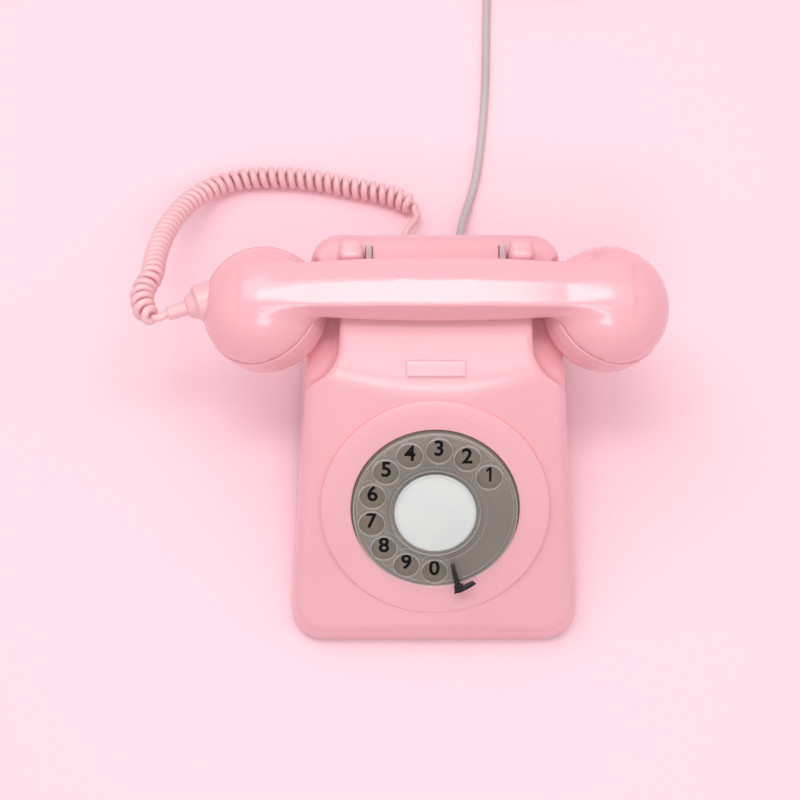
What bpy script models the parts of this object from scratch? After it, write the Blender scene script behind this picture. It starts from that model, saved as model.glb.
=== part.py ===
"""Pink rotary desk telephone with its handset on the cradle.

Sizes are in millimetres until solid() writes them in metres. +Z is up, +X is the user's right, the user sits
at -Y, and the origin lies on the table under the middle of the case.
"""

import math

import bmesh
import bpy
import numpy as np
from mathutils import Vector

MM = 0.001
GAP = 0.3  # left between pieces that touch

# Case: one moulding, drafted on all sides
CASE_DEPTH = 197.0
FRONT_HALF_WIDTH = 69.7
REAR_HALF_WIDTH = 65.0
CASE_BOTTOM = 2.0
WALL = 2.8
SIDE_DRAFT = 5.7
FRONT_DRAFT = 12.0
REAR_DRAFT = 12.0
FRONT_CORNER = 15.0
REAR_CORNER = 13.0
LIP_HEIGHT = 18.5
LIP_TO_DIAL = 61.9  # up the dial face
DIAL_TO_RIDGE = 60.0
EDGE_ROUNDING = 3.0

# Cradle: the handle lies on a seat that tips back towards two prongs
RIDGE_TO_SEAT = 28.7  # level, from the ridge over the dial to the seat's front edge
SEAT_DEPTH = 10.4  # from that edge to the middle of the handle's bottom
SEAT_HEIGHT = 92.6
SEAT_RISE = 8.6  # over the ridge
SEAT_TILT = 8.0
DIAL_RISE = SEAT_HEIGHT - SEAT_RISE - LIP_HEIGHT
DIAL_TILT = math.degrees(math.asin(DIAL_RISE / (LIP_TO_DIAL + DIAL_TO_RIDGE)))
BLOCK_HALF_WIDTH = 45.6
BLOCK_DRAFT = 8.0
SHOULDER_SETBACK = 7.2  # of the shoulder's front from the ridge
SHOULDER_LENGTH = 39.0
SHOULDER_CUT = 23.3  # angle of the dial face's cut corners
SHOULDER_DROP = 13.6
SHOULDER_HEIGHT = SEAT_HEIGHT - SHOULDER_DROP
SHOULDER_FALL = 21.8
PRONG_INNER = 33.2
PRONG_WIDTH = 11.0
PRONG_DEPTH = 11.6
PRONG_HEIGHT = 13.7
PRONG_ROUNDING = 2.4

# Handset
CAP_RADIUS = 28.6
BETWEEN_CAPS = 51.1  # from the middle to each cap, along the seams' line
HANDSET_SPREAD = BETWEEN_CAPS + CAP_RADIUS
SEAM_STEP = 0.4
DOME_RADIUS = CAP_RADIUS - SEAM_STEP
CAP_TILT = 22.0
DOME_HEIGHT = 26.0
HANDSET_WALL = 2.6
CAP_HEIGHT = 18.0
CAP_BAND = 12.0
CAP_WALL = 2.6
CAP_DISH = 1.8
SOUND_HOLE = 1.5
SOUND_HOLE_RING = 8.0
SOUND_HOLES = 6
CAPSULE_RADIUS = 22.5
CAPSULE_HEIGHT = 10.5
HANDLE_BOTTOM = 8.6  # above the seams' centres
HANDLE_HEIGHT = 21.0
HANDLE_HALF_WIDTH = 13.2
HANDLE_SHOULDER = 2.5
HANDLE_CHAMFER = 2.7
HANDLE_TAPER = 0.2
SCOOP_CLEARANCE = 1.5
SCOOP_DEPTH = 2.4
NOZZLE_RAISE = 4.0
NOZZLE_FLARE = 8.8
NOZZLE_CONE = 6.5
NOZZLE_TURN = 20.0  # of the sleeve towards the user
SLEEVE_RADIUS = 3.6
SLEEVE_LENGTH = 9.5

# Dial, measured along the dial face's normal from the face
WHEEL_RADIUS = 38.1
WHEEL_TOP = 5.2
WHEEL_WEB = 2.6
WHEEL_SKIRT = 1.0
WHEEL_RIM = 1.5
FINGER_STEP = 26.1
RING_INSET = 7.9  # from the wheel's edge to the ring of holes
FINGER_RING = WHEEL_RADIUS - RING_INSET
HOLE_WEB = 1.04  # between two holes
FINGER_HOLE = FINGER_RING * math.sin(math.radians(FINGER_STEP / 2)) - HOLE_WEB / 2
FIRST_HOLE = 34.8
FINGER_HOLES = 10
BORE_CLEARANCE = 1.3
LABEL_MARGIN = 4.9
LABEL_RADIUS = FINGER_RING - FINGER_HOLE - LABEL_MARGIN
LABEL_THICKNESS = 0.6
RETAINER_WIDTH = 1.8
NUMBER_RING_LAP = 1.1  # under the centre label's edge
NUMBER_RING_INNER = LABEL_RADIUS - NUMBER_RING_LAP
STOP_ANGLE = 288.0
STOP_LAP = 3.2  # past the middle of the holes
STOP_REACH = FINGER_RING - STOP_LAP
STOP_WIDTH = 4.6
STOP_THICKNESS = 1.4
STOP_LIFT = 1.0
PLATE_OVERLAP = 3.6
PLATE_THICKNESS = 2.0
BACK_PLATE_DEPTH = 24.0
BACK_PLATE_RADIUS = 36.0
BACK_PLATE_THICKNESS = 1.5
POST_RADIUS = 2.2
POST_RING = 32.8
SPINDLE_RADIUS = 2.9
SHAFT_RADIUS = 1.5
GEAR_MODULE = 1.2
GEAR_TEETH = 40
PINION_TEETH = 10
GEAR_THICKNESS = 2.0
GEAR_DEPTH = 9.5
PINION_ANGLE = 150.0
DRUM_RADIUS = 8.0
DRUM_LENGTH = 8.0
SPRING_CASE_RADIUS = 14.5
SPRING_CASE_HEIGHT = 11.0

# Hook switch
PLUNGER_WIDTH = 2.8
PLUNGER_INSET = 1.0  # from the prong's inner side
PLUNGER_FRONT = 4.0
PLUNGER_REAR = 27.0
PLUNGER_LENGTH = 16.0
PLUNGER_STEP = 4.6
LEVER_THICKNESS = 2.0
LEVER_PIVOT = -6.0
LEVER_BAR = 15.0
LEVER_ARM = 20.0
PIN_RADIUS = 1.2
BRACKET_THICKNESS = 1.5
BRACKET_LENGTH = 20.0

# Base, bell and circuit
PLATE_GAUGE = 1.5
FOOT_RADIUS = 7.0
STEM_RADIUS = 2.4
BOSS_RADIUS = 4.0
SCREW_RADIUS = 1.6
SCREW_HEAD = 3.2
SCREW_LENGTH = 9.0
GONG_RADIUS = 25.0
GONG_HEIGHT = 15.0
GONG_WALL = 1.4
GONG_RIM = 12.0
GONG_X = 32.0
GONG_TO_REAR = 32.5
GONG_Y = CASE_DEPTH / 2 - GONG_TO_REAR
GONG_POST = 3.0
CLAPPER_REACH = 21.7
CLAPPER_PIVOT = GONG_Y - CLAPPER_REACH
CLAPPER_BALL = 3.5
CLAPPER_ARM = 1.1
COIL_RADIUS = 7.6
COIL_LENGTH = 21.0
COIL_SPACING = 20.0
BOARD_THICKNESS = 1.6
BOARD_LENGTH = 34.0
BOARD_TO_BELL = 6.5

# Cords
GROMMET_RADIUS = 3.4
GROMMET_FLANGE = 5.2
GROMMET_HEIGHT = 9.0
GROMMET_NOSE = 5.0
CURLY_EXIT = -14.0
LINE_EXIT = 14.5
CURLY_WIRE = 3.2
CURLY_OUTER = 11.3
CURLY_TURNS = 50
CURL_POINTS = 8
LINE_DIAMETER = 4.2
COIL_LAYERS = 4
LAYER_LOOPS = 2.6875  # so that the last layer ends towards +X
LOOP_POINTS = 24
LOOP_PITCH = 5.25
COIL_MEAN_RADIUS = 24.0
TIE_GAUGE = 0.9
TIE_WIDTH = 6.0
TAIL_LENGTH = 48.0
PLUG_LENGTH = 16.0
PLUG_HALF_WIDTH = 5.5
PLUG_HALF_HEIGHT = 4.5


def remove_everything():
    for obj in list(bpy.context.scene.objects):
        bpy.data.objects.remove(obj, do_unlink=True)


def slope(degrees):
    return math.tan(math.radians(degrees))


def make_material(name, colour, roughness, metallic=0.0, alpha=1.0):
    material = bpy.data.materials.new(name)
    material.use_nodes = True
    shader = material.node_tree.nodes["Principled BSDF"]
    shader.inputs["Base Color"].default_value = (*colour, 1.0)
    shader.inputs["Roughness"].default_value = roughness
    shader.inputs["Metallic"].default_value = metallic
    shader.inputs["Alpha"].default_value = alpha
    return material


def make_materials():
    return {
        "pink": make_material("pink_plastic", (0.90, 0.42, 0.48), 0.28),
        "pale_pink": make_material("pale_pink_plastic", (0.92, 0.56, 0.60), 0.35),
        "clear": make_material("clear_plastic", (0.86, 0.85, 0.83), 0.08, alpha=0.35),
        "taupe": make_material("taupe_plastic", (0.33, 0.29, 0.24), 0.45),
        "white": make_material("white_card", (0.80, 0.83, 0.82), 0.60),
        "black": make_material("black_metal", (0.02, 0.02, 0.02), 0.35, metallic=0.4),
        "grey": make_material("grey_plastic", (0.55, 0.49, 0.50), 0.50),
        "rubber": make_material("dark_rubber", (0.05, 0.05, 0.05), 0.85),
        "steel": make_material("steel", (0.62, 0.62, 0.63), 0.35, metallic=1.0),
        "brass": make_material("brass", (0.78, 0.57, 0.28), 0.30, metallic=1.0),
        "board": make_material("board", (0.35, 0.20, 0.09), 0.60),
        "winding": make_material("winding", (0.50, 0.16, 0.06), 0.50),
    }


def make_frame(name, y, z, tilt):
    """An empty at (0, y, z), turned about +X so that its own +Z is the tilted surface's normal."""
    frame = bpy.data.objects.new(name, None)
    frame.location = (0.0, y * MM, z * MM)
    frame.rotation_euler = (math.radians(tilt), 0.0, 0.0)
    bpy.context.scene.collection.objects.link(frame)
    return frame


def solid(name, shape, material, frame=None, at=(0.0, 0.0, 0.0), turn=(0.0, 0.0, 0.0)):
    """Makes a bmesh in millimetres into a named object in metres."""
    bmesh.ops.recalc_face_normals(shape, faces=shape.faces)
    bmesh.ops.scale(shape, vec=(MM, MM, MM), verts=shape.verts)
    mesh = bpy.data.meshes.new(name)
    shape.to_mesh(mesh)
    shape.free()
    mesh.materials.append(material)
    mesh.shade_smooth()
    mesh.set_sharp_from_angle(angle=math.radians(35))
    obj = bpy.data.objects.new(name, mesh)
    obj.parent = frame
    obj.location = Vector(at) * MM
    obj.rotation_euler = [math.radians(angle) for angle in turn]
    bpy.context.scene.collection.objects.link(obj)
    return obj


def helper(name, shape, frame=None, at=(0.0, 0.0, 0.0), turn=(0.0, 0.0, 0.0)):
    """A cutter: it shapes other objects and isn't a piece itself."""
    obj = solid(name, shape, MATERIALS["steel"], frame, at, turn)
    obj.hide_render = True
    obj.display_type = "WIRE"
    return obj


def combine(obj, operation, others, solver="EXACT"):
    for other in others:
        modifier = obj.modifiers.new(f"{operation.lower()}_{other.name}", "BOOLEAN")
        modifier.operation = operation
        modifier.solver = solver
        modifier.object = other


def turned(profile, steps=32):
    """A solid of revolution about Z. The (radius, height) profile is a loop, or runs from axis to axis."""
    shape = bmesh.new()
    rings = []
    for radius, height in profile:
        if radius == 0:
            rings.append([shape.verts.new((0.0, 0.0, height))])
            continue
        angles = [2 * math.pi * i / steps for i in range(steps)]
        rings.append([shape.verts.new((radius * math.cos(a), radius * math.sin(a), height)) for a in angles])
    following = rings[1:] if profile[0][0] == 0 else rings[1:] + rings[:1]
    for low, high in zip(rings, following):
        for i in range(steps):
            j = (i + 1) % steps
            corners = [low[i % len(low)], low[j % len(low)], high[j % len(high)], high[i % len(high)]]
            shape.faces.new(list(dict.fromkeys(corners)))
    return shape


def prism(outline, low, high):
    """An outline in XY, run from one height to another."""
    shape = bmesh.new()
    bottom = [shape.verts.new((x, y, low)) for x, y in outline]
    top = [shape.verts.new((x, y, high)) for x, y in outline]
    shape.faces.new(bottom)
    shape.faces.new(top)
    for i in range(len(outline)):
        j = (i + 1) % len(outline)
        shape.faces.new([bottom[i], bottom[j], top[j], top[i]])
    return shape


def side_prism(outline, low, high):
    """An outline in YZ, run along X."""
    shape = prism(outline, low, high)
    for vert in shape.verts:
        x, y, z = vert.co
        vert.co = (z, x, y)
    return shape


def block(low, high, rounding=0.0, segments=2):
    shape = bmesh.new()
    bmesh.ops.create_cube(shape, size=1.0)
    for vert in shape.verts:
        vert.co = [b if c > 0 else a for a, b, c in zip(low, high, vert.co)]
    if rounding:
        bmesh.ops.bevel(
            shape, geom=list(shape.edges), offset=rounding, segments=segments, profile=0.5, affect="EDGES"
        )
    return shape


def cylinder(radius, low, high, steps=24):
    return turned([(0, low), (radius, low), (radius, high), (0, high)], steps)


def rod_along_x(radius, low, high, y, z, steps=16):
    shape = cylinder(radius, low, high, steps)
    for vert in shape.verts:
        a, b, c = vert.co
        vert.co = (c, y + a, z + b)
    return shape


def join(shapes):
    """Several separate shapes in one cutter mesh."""
    whole = bmesh.new()
    for shape in shapes:
        mesh = bpy.data.meshes.new("joined")
        bmesh.ops.recalc_face_normals(shape, faces=shape.faces)
        shape.to_mesh(mesh)
        shape.free()
        whole.from_mesh(mesh)
        bpy.data.meshes.remove(mesh)
    return whole


def moved(shape, offset):
    bmesh.ops.translate(shape, vec=Vector(offset), verts=shape.verts)
    return shape


def round_corners(corners, radii, steps=5):
    """The outline through some corners, each rounded by its own radius."""
    outline = []
    for i, corner in enumerate(corners):
        here = Vector(corner)
        before = (Vector(corners[i - 1]) - here).normalized()
        after = (Vector(corners[(i + 1) % len(corners)]) - here).normalized()
        half = before.angle(after) / 2
        middle = here + (before + after).normalized() * radii[i] / math.sin(half)
        start = here + before * radii[i] / math.tan(half) - middle
        end = here + after * radii[i] / math.tan(half) - middle
        turn = start.angle_signed(end)
        for step in range(steps + 1):
            angle = -turn * step / steps
            x = start.x * math.cos(angle) - start.y * math.sin(angle)
            y = start.x * math.sin(angle) + start.y * math.cos(angle)
            outline.append((middle.x + x, middle.y + y))
    return outline


def face_point(distance):
    """(y, z) on the dial face, measured up the slope from the lip."""
    lip_y = -CASE_DEPTH / 2 + (LIP_HEIGHT - CASE_BOTTOM) * slope(FRONT_DRAFT)
    angle = math.radians(DIAL_TILT)
    return lip_y + distance * math.cos(angle), LIP_HEIGHT + distance * math.sin(angle)


def ridge():
    return face_point(LIP_TO_DIAL + DIAL_TO_RIDGE)


def seat_middle():
    """(y, z) under the middle of the handle."""
    return ridge()[0] + RIDGE_TO_SEAT + SEAT_DEPTH, SEAT_HEIGHT


def block_tilt():
    """The block's face runs from the ridge up to the seat's front edge."""
    rise = SEAT_HEIGHT + SEAT_DEPTH * slope(SEAT_TILT) - ridge()[1]
    return math.degrees(math.atan2(rise, RIDGE_TO_SEAT))


def case_outline(height, inset):
    """The case's plan at one height, drawn in by a wall's thickness."""
    rise = height - CASE_BOTTOM
    narrower = rise * slope(SIDE_DRAFT) + inset
    front = -CASE_DEPTH / 2 + rise * slope(FRONT_DRAFT) + inset
    rear = CASE_DEPTH / 2 - rise * slope(REAR_DRAFT) - inset
    front_half = FRONT_HALF_WIDTH - narrower
    rear_half = REAR_HALF_WIDTH - narrower
    corners = [(-front_half, front), (front_half, front), (rear_half, rear), (-rear_half, rear)]
    return round_corners(corners, [FRONT_CORNER - inset] * 2 + [REAR_CORNER - inset] * 2)


def cut_above(shape, point, tilt, inset):
    """Cuts away what is above a plane that rises by tilt towards the rear, lowered by a wall's thickness."""
    normal = Vector((0, -math.sin(math.radians(tilt)), math.cos(math.radians(tilt))))
    y, z = point
    place = Vector((0, y, z)) - normal * inset
    everything = list(shape.verts) + list(shape.edges) + list(shape.faces)
    cut = bmesh.ops.bisect_plane(
        shape, geom=everything, dist=0.0001, plane_co=place, plane_no=normal, clear_outer=True
    )
    rim = [item for item in cut["geom_cut"] if isinstance(item, bmesh.types.BMEdge)]
    bmesh.ops.contextual_create(shape, geom=rim)


def case_body(low, inset, rounding):
    """The case without its hollows: drafted sides under the dial face, the block's face and the seat."""
    top = SEAT_HEIGHT + 30
    shape = bmesh.new()
    bottom = [shape.verts.new((x, y, low)) for x, y in case_outline(low, inset)]
    upper = [shape.verts.new((x, y, top)) for x, y in case_outline(top, inset)]
    shape.faces.new(bottom)
    shape.faces.new(upper)
    for i in range(len(bottom)):
        j = (i + 1) % len(bottom)
        shape.faces.new([bottom[i], bottom[j], upper[j], upper[i]])
    bmesh.ops.recalc_face_normals(shape, faces=shape.faces)
    cut_above(shape, face_point(0), DIAL_TILT, inset)
    cut_above(shape, ridge(), block_tilt(), inset)
    cut_above(shape, seat_middle(), -SEAT_TILT, inset)
    bmesh.ops.recalc_face_normals(shape, faces=shape.faces)
    edges = []
    for edge in shape.edges:
        above = min(vert.co.z for vert in edge.verts) > low + 1
        if above and len(edge.link_faces) == 2 and edge.calc_face_angle() > math.radians(20):
            edges.append(edge)
    bmesh.ops.bevel(shape, geom=edges, offset=rounding, segments=2, profile=0.5, affect="EDGES")
    return shape


def shoulder_cut(side, grow):
    """What is taken off beside the block, under one end of the handset."""
    low = SHOULDER_HEIGHT - 40
    high = SEAT_HEIGHT + 40
    outer = FRONT_HALF_WIDTH + 25
    away = outer - BLOCK_HALF_WIDTH
    lean = 1 / math.cos(math.radians(SHOULDER_CUT))
    first = ridge()[0] + SHOULDER_SETBACK
    front = first - grow * lean
    rear = first + SHOULDER_LENGTH + grow
    shape = bmesh.new()
    rings = []
    for height in (low, high):
        wall = BLOCK_HALF_WIDTH - grow + (SHOULDER_HEIGHT - height) * slope(BLOCK_DRAFT)
        corners = [
            (wall, front + (BLOCK_HALF_WIDTH - wall) * slope(SHOULDER_CUT)),
            (outer, front - away * slope(SHOULDER_CUT)),
            (outer, rear + 26),
            (BLOCK_HALF_WIDTH + 12, rear + 13),
            (wall, rear),
        ]
        rings.append([shape.verts.new((side * x, y, height)) for x, y in corners])
    shape.faces.new(rings[0])
    shape.faces.new(rings[1])
    for i in range(5):
        j = (i + 1) % 5
        shape.faces.new([rings[0][i], rings[0][j], rings[1][j], rings[1][i]])
    angle = math.radians(SHOULDER_FALL)
    normal = Vector((side * math.sin(angle), 0, math.cos(angle)))
    place = Vector((side * BLOCK_HALF_WIDTH, 0, SHOULDER_HEIGHT)) - normal * grow
    everything = list(shape.verts) + list(shape.edges) + list(shape.faces)
    cut = bmesh.ops.bisect_plane(
        shape, geom=everything, dist=0.0001, plane_co=place, plane_no=normal, clear_inner=True
    )
    rim = [item for item in cut["geom_cut"] if isinstance(item, bmesh.types.BMEdge)]
    bmesh.ops.contextual_create(shape, geom=rim)
    return shape


def scoop_cut(side, grow):
    """The hollow under a handset cap, in that cap's frame: the cap's room, swept straight up so that it lifts."""
    radius = CAP_RADIUS + SCOOP_CLEARANCE + grow
    lean, tip = math.radians(SEAT_TILT), math.radians(CAP_TILT)
    lift = Vector((-side * math.cos(lean) * math.sin(tip), -math.sin(lean), math.cos(lean) * math.cos(tip)))
    shape = bmesh.new()
    for i in range(32):
        for height in (-CAP_HEIGHT - SCOOP_DEPTH - grow, 0):
            place = Vector((*polar(radius, 360 * i / 32), height))
            shape.verts.new(place)
            shape.verts.new(place + lift * 60)
    hull = bmesh.ops.convex_hull(shape, input=shape.verts)
    inside = set(hull["geom_interior"] + hull["geom_unused"])
    bmesh.ops.delete(shape, geom=[item for item in inside if isinstance(item, bmesh.types.BMVert)])
    return shape


def screw_places():
    """The case's four screws, near its corners."""
    front = -CASE_DEPTH / 2 + FRONT_CORNER + 1.5
    rear = CASE_DEPTH / 2 - REAR_CORNER + 0.5
    front_x = FRONT_HALF_WIDTH - FRONT_CORNER - 1
    rear_x = REAR_HALF_WIDTH - REAR_CORNER + 2
    return [(-front_x, front), (front_x, front), (-rear_x, rear), (rear_x, rear)]


def foot_places():
    front = -CASE_DEPTH / 2 + FRONT_CORNER + 20
    rear = CASE_DEPTH / 2 - REAR_CORNER - 22
    x = REAR_HALF_WIDTH - 11
    return [(-x, front), (x, front), (-x, rear), (x, rear)]


def plate_bottom():
    return CASE_BOTTOM + GAP


def floor_height():
    """The height at which things stand inside, just over the base plate."""
    return plate_bottom() + PLATE_GAUGE + GAP


def seat_level():
    """The seat in the cradle's frame, whose origin is level with the seams' centres."""
    return HANDLE_BOTTOM - GAP


def plunger_outline(top):
    """A plunger from the side, in the cradle's frame: flush under the handle, with a step up behind it."""
    step = HANDLE_HALF_WIDTH + HANDLE_CHAMFER + 1
    return [
        (PLUNGER_FRONT, top - PLUNGER_LENGTH),
        (PLUNGER_REAR, top - PLUNGER_LENGTH),
        (PLUNGER_REAR, top + PLUNGER_STEP - 1),
        (step, top + PLUNGER_STEP),
        (step - PLUNGER_STEP - 1, top),
        (PLUNGER_FRONT, top),
    ]


def plunger_span(side):
    outer = PRONG_INNER - PLUNGER_INSET
    return sorted((side * outer, side * (outer - PLUNGER_WIDTH)))


def make_case(frames):
    case = solid("case_shell", case_body(CASE_BOTTOM, 0, EDGE_ROUNDING), MATERIALS["pink"])
    prongs = []
    for side in (-1, 1):
        x = sorted((side * PRONG_INNER, side * (PRONG_INNER + PRONG_WIDTH)))
        front = HANDLE_HALF_WIDTH + GAP
        top = seat_level() + PRONG_HEIGHT
        shape = block((x[0], front, -8), (x[1], front + PRONG_DEPTH, top), PRONG_ROUNDING)
        prongs.append(helper(f"prong_{side}", shape, frames["cradle"]))
    combine(case, "UNION", prongs)

    shoulders = [helper(f"shoulder_{side}", shoulder_cut(side, 0)) for side in (-1, 1)]
    scoops = []
    for end, side in (("ear", 1), ("mouth", -1)):
        scoops.append(helper(f"scoop_{end}", scoop_cut(side, 0), frames[f"{end}_seat"]))
    combine(case, "DIFFERENCE", shoulders + scoops)

    cavity = helper("cavity", case_body(CASE_BOTTOM - 6, WALL, 1.0))
    grown = [helper(f"shoulder_wall_{side}", shoulder_cut(side, WALL)) for side in (-1, 1)]
    for end, side in (("ear", 1), ("mouth", -1)):
        grown.append(helper(f"scoop_wall_{end}", scoop_cut(side, WALL), frames[f"{end}_seat"]))
    for i, (x, y) in enumerate(screw_places()):
        grown.append(helper(f"boss_{i}", cylinder(BOSS_RADIUS, floor_height(), 75, 12), at=(x, y, 0)))
    combine(cavity, "DIFFERENCE", grown)
    combine(case, "DIFFERENCE", [cavity])

    bore = helper("dial_bore", cylinder(WHEEL_RADIUS + BORE_CLEARANCE, -9, 9, 48), frames["dial"])
    foot = WHEEL_RADIUS + BORE_CLEARANCE + 2.7
    notch_shape = block((WHEEL_RADIUS - 3, -STOP_WIDTH / 2 - 1, -9), (foot, STOP_WIDTH / 2 + 1, 9))
    notch = helper("stop_notch", notch_shape, frames["dial"], turn=(0, 0, STOP_ANGLE))
    openings = [bore, notch]
    for side in (-1, 1):
        low, high = plunger_span(side)
        shape = block((low - GAP, PLUNGER_FRONT - GAP, -12), (high + GAP, PLUNGER_REAR + GAP, 16))
        openings.append(helper(f"slot_{side}", shape, frames["cradle"]))
    for name, x in (("curly", CURLY_EXIT), ("line", LINE_EXIT)):
        shape = cylinder(GROMMET_RADIUS + GAP, 0, 30, 16)
        place = (x, CASE_DEPTH / 2 + 10, GROMMET_HEIGHT)
        openings.append(helper(f"{name}_hole", shape, at=place, turn=(90, 0, 0)))
    for i, (x, y) in enumerate(screw_places()):
        shape = cylinder(SCREW_RADIUS + 0.05, -1, floor_height() + SCREW_LENGTH, 12)
        openings.append(helper(f"screw_hole_{i}", shape, at=(x, y, 0)))
    combine(case, "DIFFERENCE", openings)


def make_label_plate(frames):
    half, length = 13.5, 7.0
    low_edge, high_edge = 1.7, 0.6
    start = 5.0  # up the block's face from the ridge
    outline = [
        (start, GAP),
        (start + length, GAP),
        (start + length, GAP + high_edge),
        (start + 1, GAP + low_edge),
        (start, GAP + low_edge - 0.5),
    ]
    solid("label_plate", side_prism(outline, -half, half), MATERIALS["pale_pink"], frames["block"])


def make_base():
    low = plate_bottom()
    outline = case_outline(low + PLATE_GAUGE, WALL + GAP)
    plate = solid("base_plate", prism(outline, low, low + PLATE_GAUGE), MATERIALS["steel"])
    holes = []
    for i, (x, y) in enumerate(screw_places()):
        holes.append(moved(cylinder(SCREW_RADIUS + GAP, -1, 8, 8), (x, y, 0)))
    for i, (x, y) in enumerate(foot_places()):
        holes.append(moved(cylinder(STEM_RADIUS + GAP, -1, 8, 10), (x, y, 0)))
    combine(plate, "DIFFERENCE", [helper("plate_holes", join(holes))])

    names = ["front_left", "front_right", "rear_left", "rear_right"]
    under = low - GAP
    foot = [
        (0, 0),
        (FOOT_RADIUS, 0),
        (FOOT_RADIUS, under),
        (STEM_RADIUS, under),
        (STEM_RADIUS, floor_height() + 2),
        (0, floor_height() + 2),
    ]
    for name, (x, y) in zip(names, foot_places()):
        solid(f"foot_{name}", turned(foot, 14), MATERIALS["rubber"], at=(x, y, 0))
    screw = [
        (0, under - 1.4),
        (SCREW_HEAD, under - 1.4),
        (SCREW_HEAD, under),
        (SCREW_RADIUS - 0.1, under),
        (SCREW_RADIUS - 0.1, floor_height() + SCREW_LENGTH - GAP),
        (0, floor_height() + SCREW_LENGTH - GAP),
    ]
    for name, (x, y) in zip(names, screw_places()):
        solid(f"case_screw_{name}", turned(screw, 8), MATERIALS["steel"], at=(x, y, 0))


def gear_shape(teeth, low, high, first_tooth):
    """A spur gear with straight-sided teeth, slimmer than true ones so that they run clear."""
    pitch = GEAR_MODULE * teeth / 2
    outline = []
    for tooth in range(teeth):
        for height, offset in ((-1.1, -0.3), (0.7, -0.13), (0.7, 0.13), (-1.1, 0.3)):
            angle = first_tooth + 360 * (tooth + offset) / teeth
            outline.append(polar(pitch + GEAR_MODULE * height, angle))
    return prism(outline, low, high)


def polar(radius, degrees):
    return radius * math.cos(math.radians(degrees)), radius * math.sin(math.radians(degrees))


def make_dial_face(frames):
    dial = frames["dial"]
    wheel_frame = frames["wheel"]
    bore = WHEEL_RADIUS + BORE_CLEARANCE
    ring_outer = bore - GAP - 0.2
    plate_top = -WALL - GAP
    ring = [
        (NUMBER_RING_INNER, plate_top + GAP),
        (ring_outer, plate_top + GAP),
        (ring_outer, -GAP),
        (NUMBER_RING_INNER, -GAP),
    ]
    solid("number_ring", turned(ring, 40), MATERIALS["taupe"], dial)

    seat = WHEEL_TOP - LABEL_THICKNESS
    hub = SPINDLE_RADIUS + GAP
    recess = LABEL_RADIUS + GAP + RETAINER_WIDTH + GAP
    wheel = [
        (hub, WHEEL_WEB),
        (WHEEL_RADIUS - WHEEL_RIM, WHEEL_WEB),
        (WHEEL_RADIUS - WHEEL_RIM, WHEEL_SKIRT),
        (WHEEL_RADIUS, WHEEL_SKIRT),
        (WHEEL_RADIUS, WHEEL_TOP - 0.8),
        (WHEEL_RADIUS - 0.8, WHEEL_TOP),
        (recess, WHEEL_TOP),
        (recess, seat),
        (hub, seat),
    ]
    finger_wheel = solid("finger_wheel", turned(wheel, 40), MATERIALS["clear"], wheel_frame)
    holes = []
    for digit in range(FINGER_HOLES):
        x, y = polar(FINGER_RING, FIRST_HOLE + digit * FINGER_STEP)
        holes.append(moved(cylinder(FINGER_HOLE, 0, 8, 14), (x, y, 0)))
    combine(finger_wheel, "DIFFERENCE", [helper("finger_holes", join(holes), wheel_frame)])

    label_low = seat + GAP
    label_high = label_low + LABEL_THICKNESS
    label = [(0, label_low), (LABEL_RADIUS, label_low), (LABEL_RADIUS, label_high), (0, label_high)]
    solid("centre_label", turned(label, 32), MATERIALS["white"], wheel_frame)
    inner = LABEL_RADIUS + GAP
    outer = inner + RETAINER_WIDTH
    retainer = [
        (inner, label_low),
        (outer, label_low),
        (outer, label_high + 1.1),
        (inner - 1.2, label_high + 1.1),
        (inner - 1.2, label_high + GAP),
        (inner, label_high + GAP),
    ]
    solid("label_retainer", turned(retainer, 32), MATERIALS["clear"], wheel_frame)

    low = WHEEL_TOP + STOP_LIFT
    high = low + STOP_THICKNESS
    foot = bore + 0.1
    stop = [
        (STOP_REACH, low),
        (foot, low),
        (foot, plate_top + GAP),
        (foot + 1.9, plate_top + GAP),
        (foot + 1.9, high - 0.5),
        (foot + 1.4, high),
        (STOP_REACH, high),
    ]
    shape = side_prism(stop, -STOP_WIDTH / 2, STOP_WIDTH / 2)
    solid("finger_stop", shape, MATERIALS["black"], dial, turn=(0, 0, STOP_ANGLE - 90))


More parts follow.
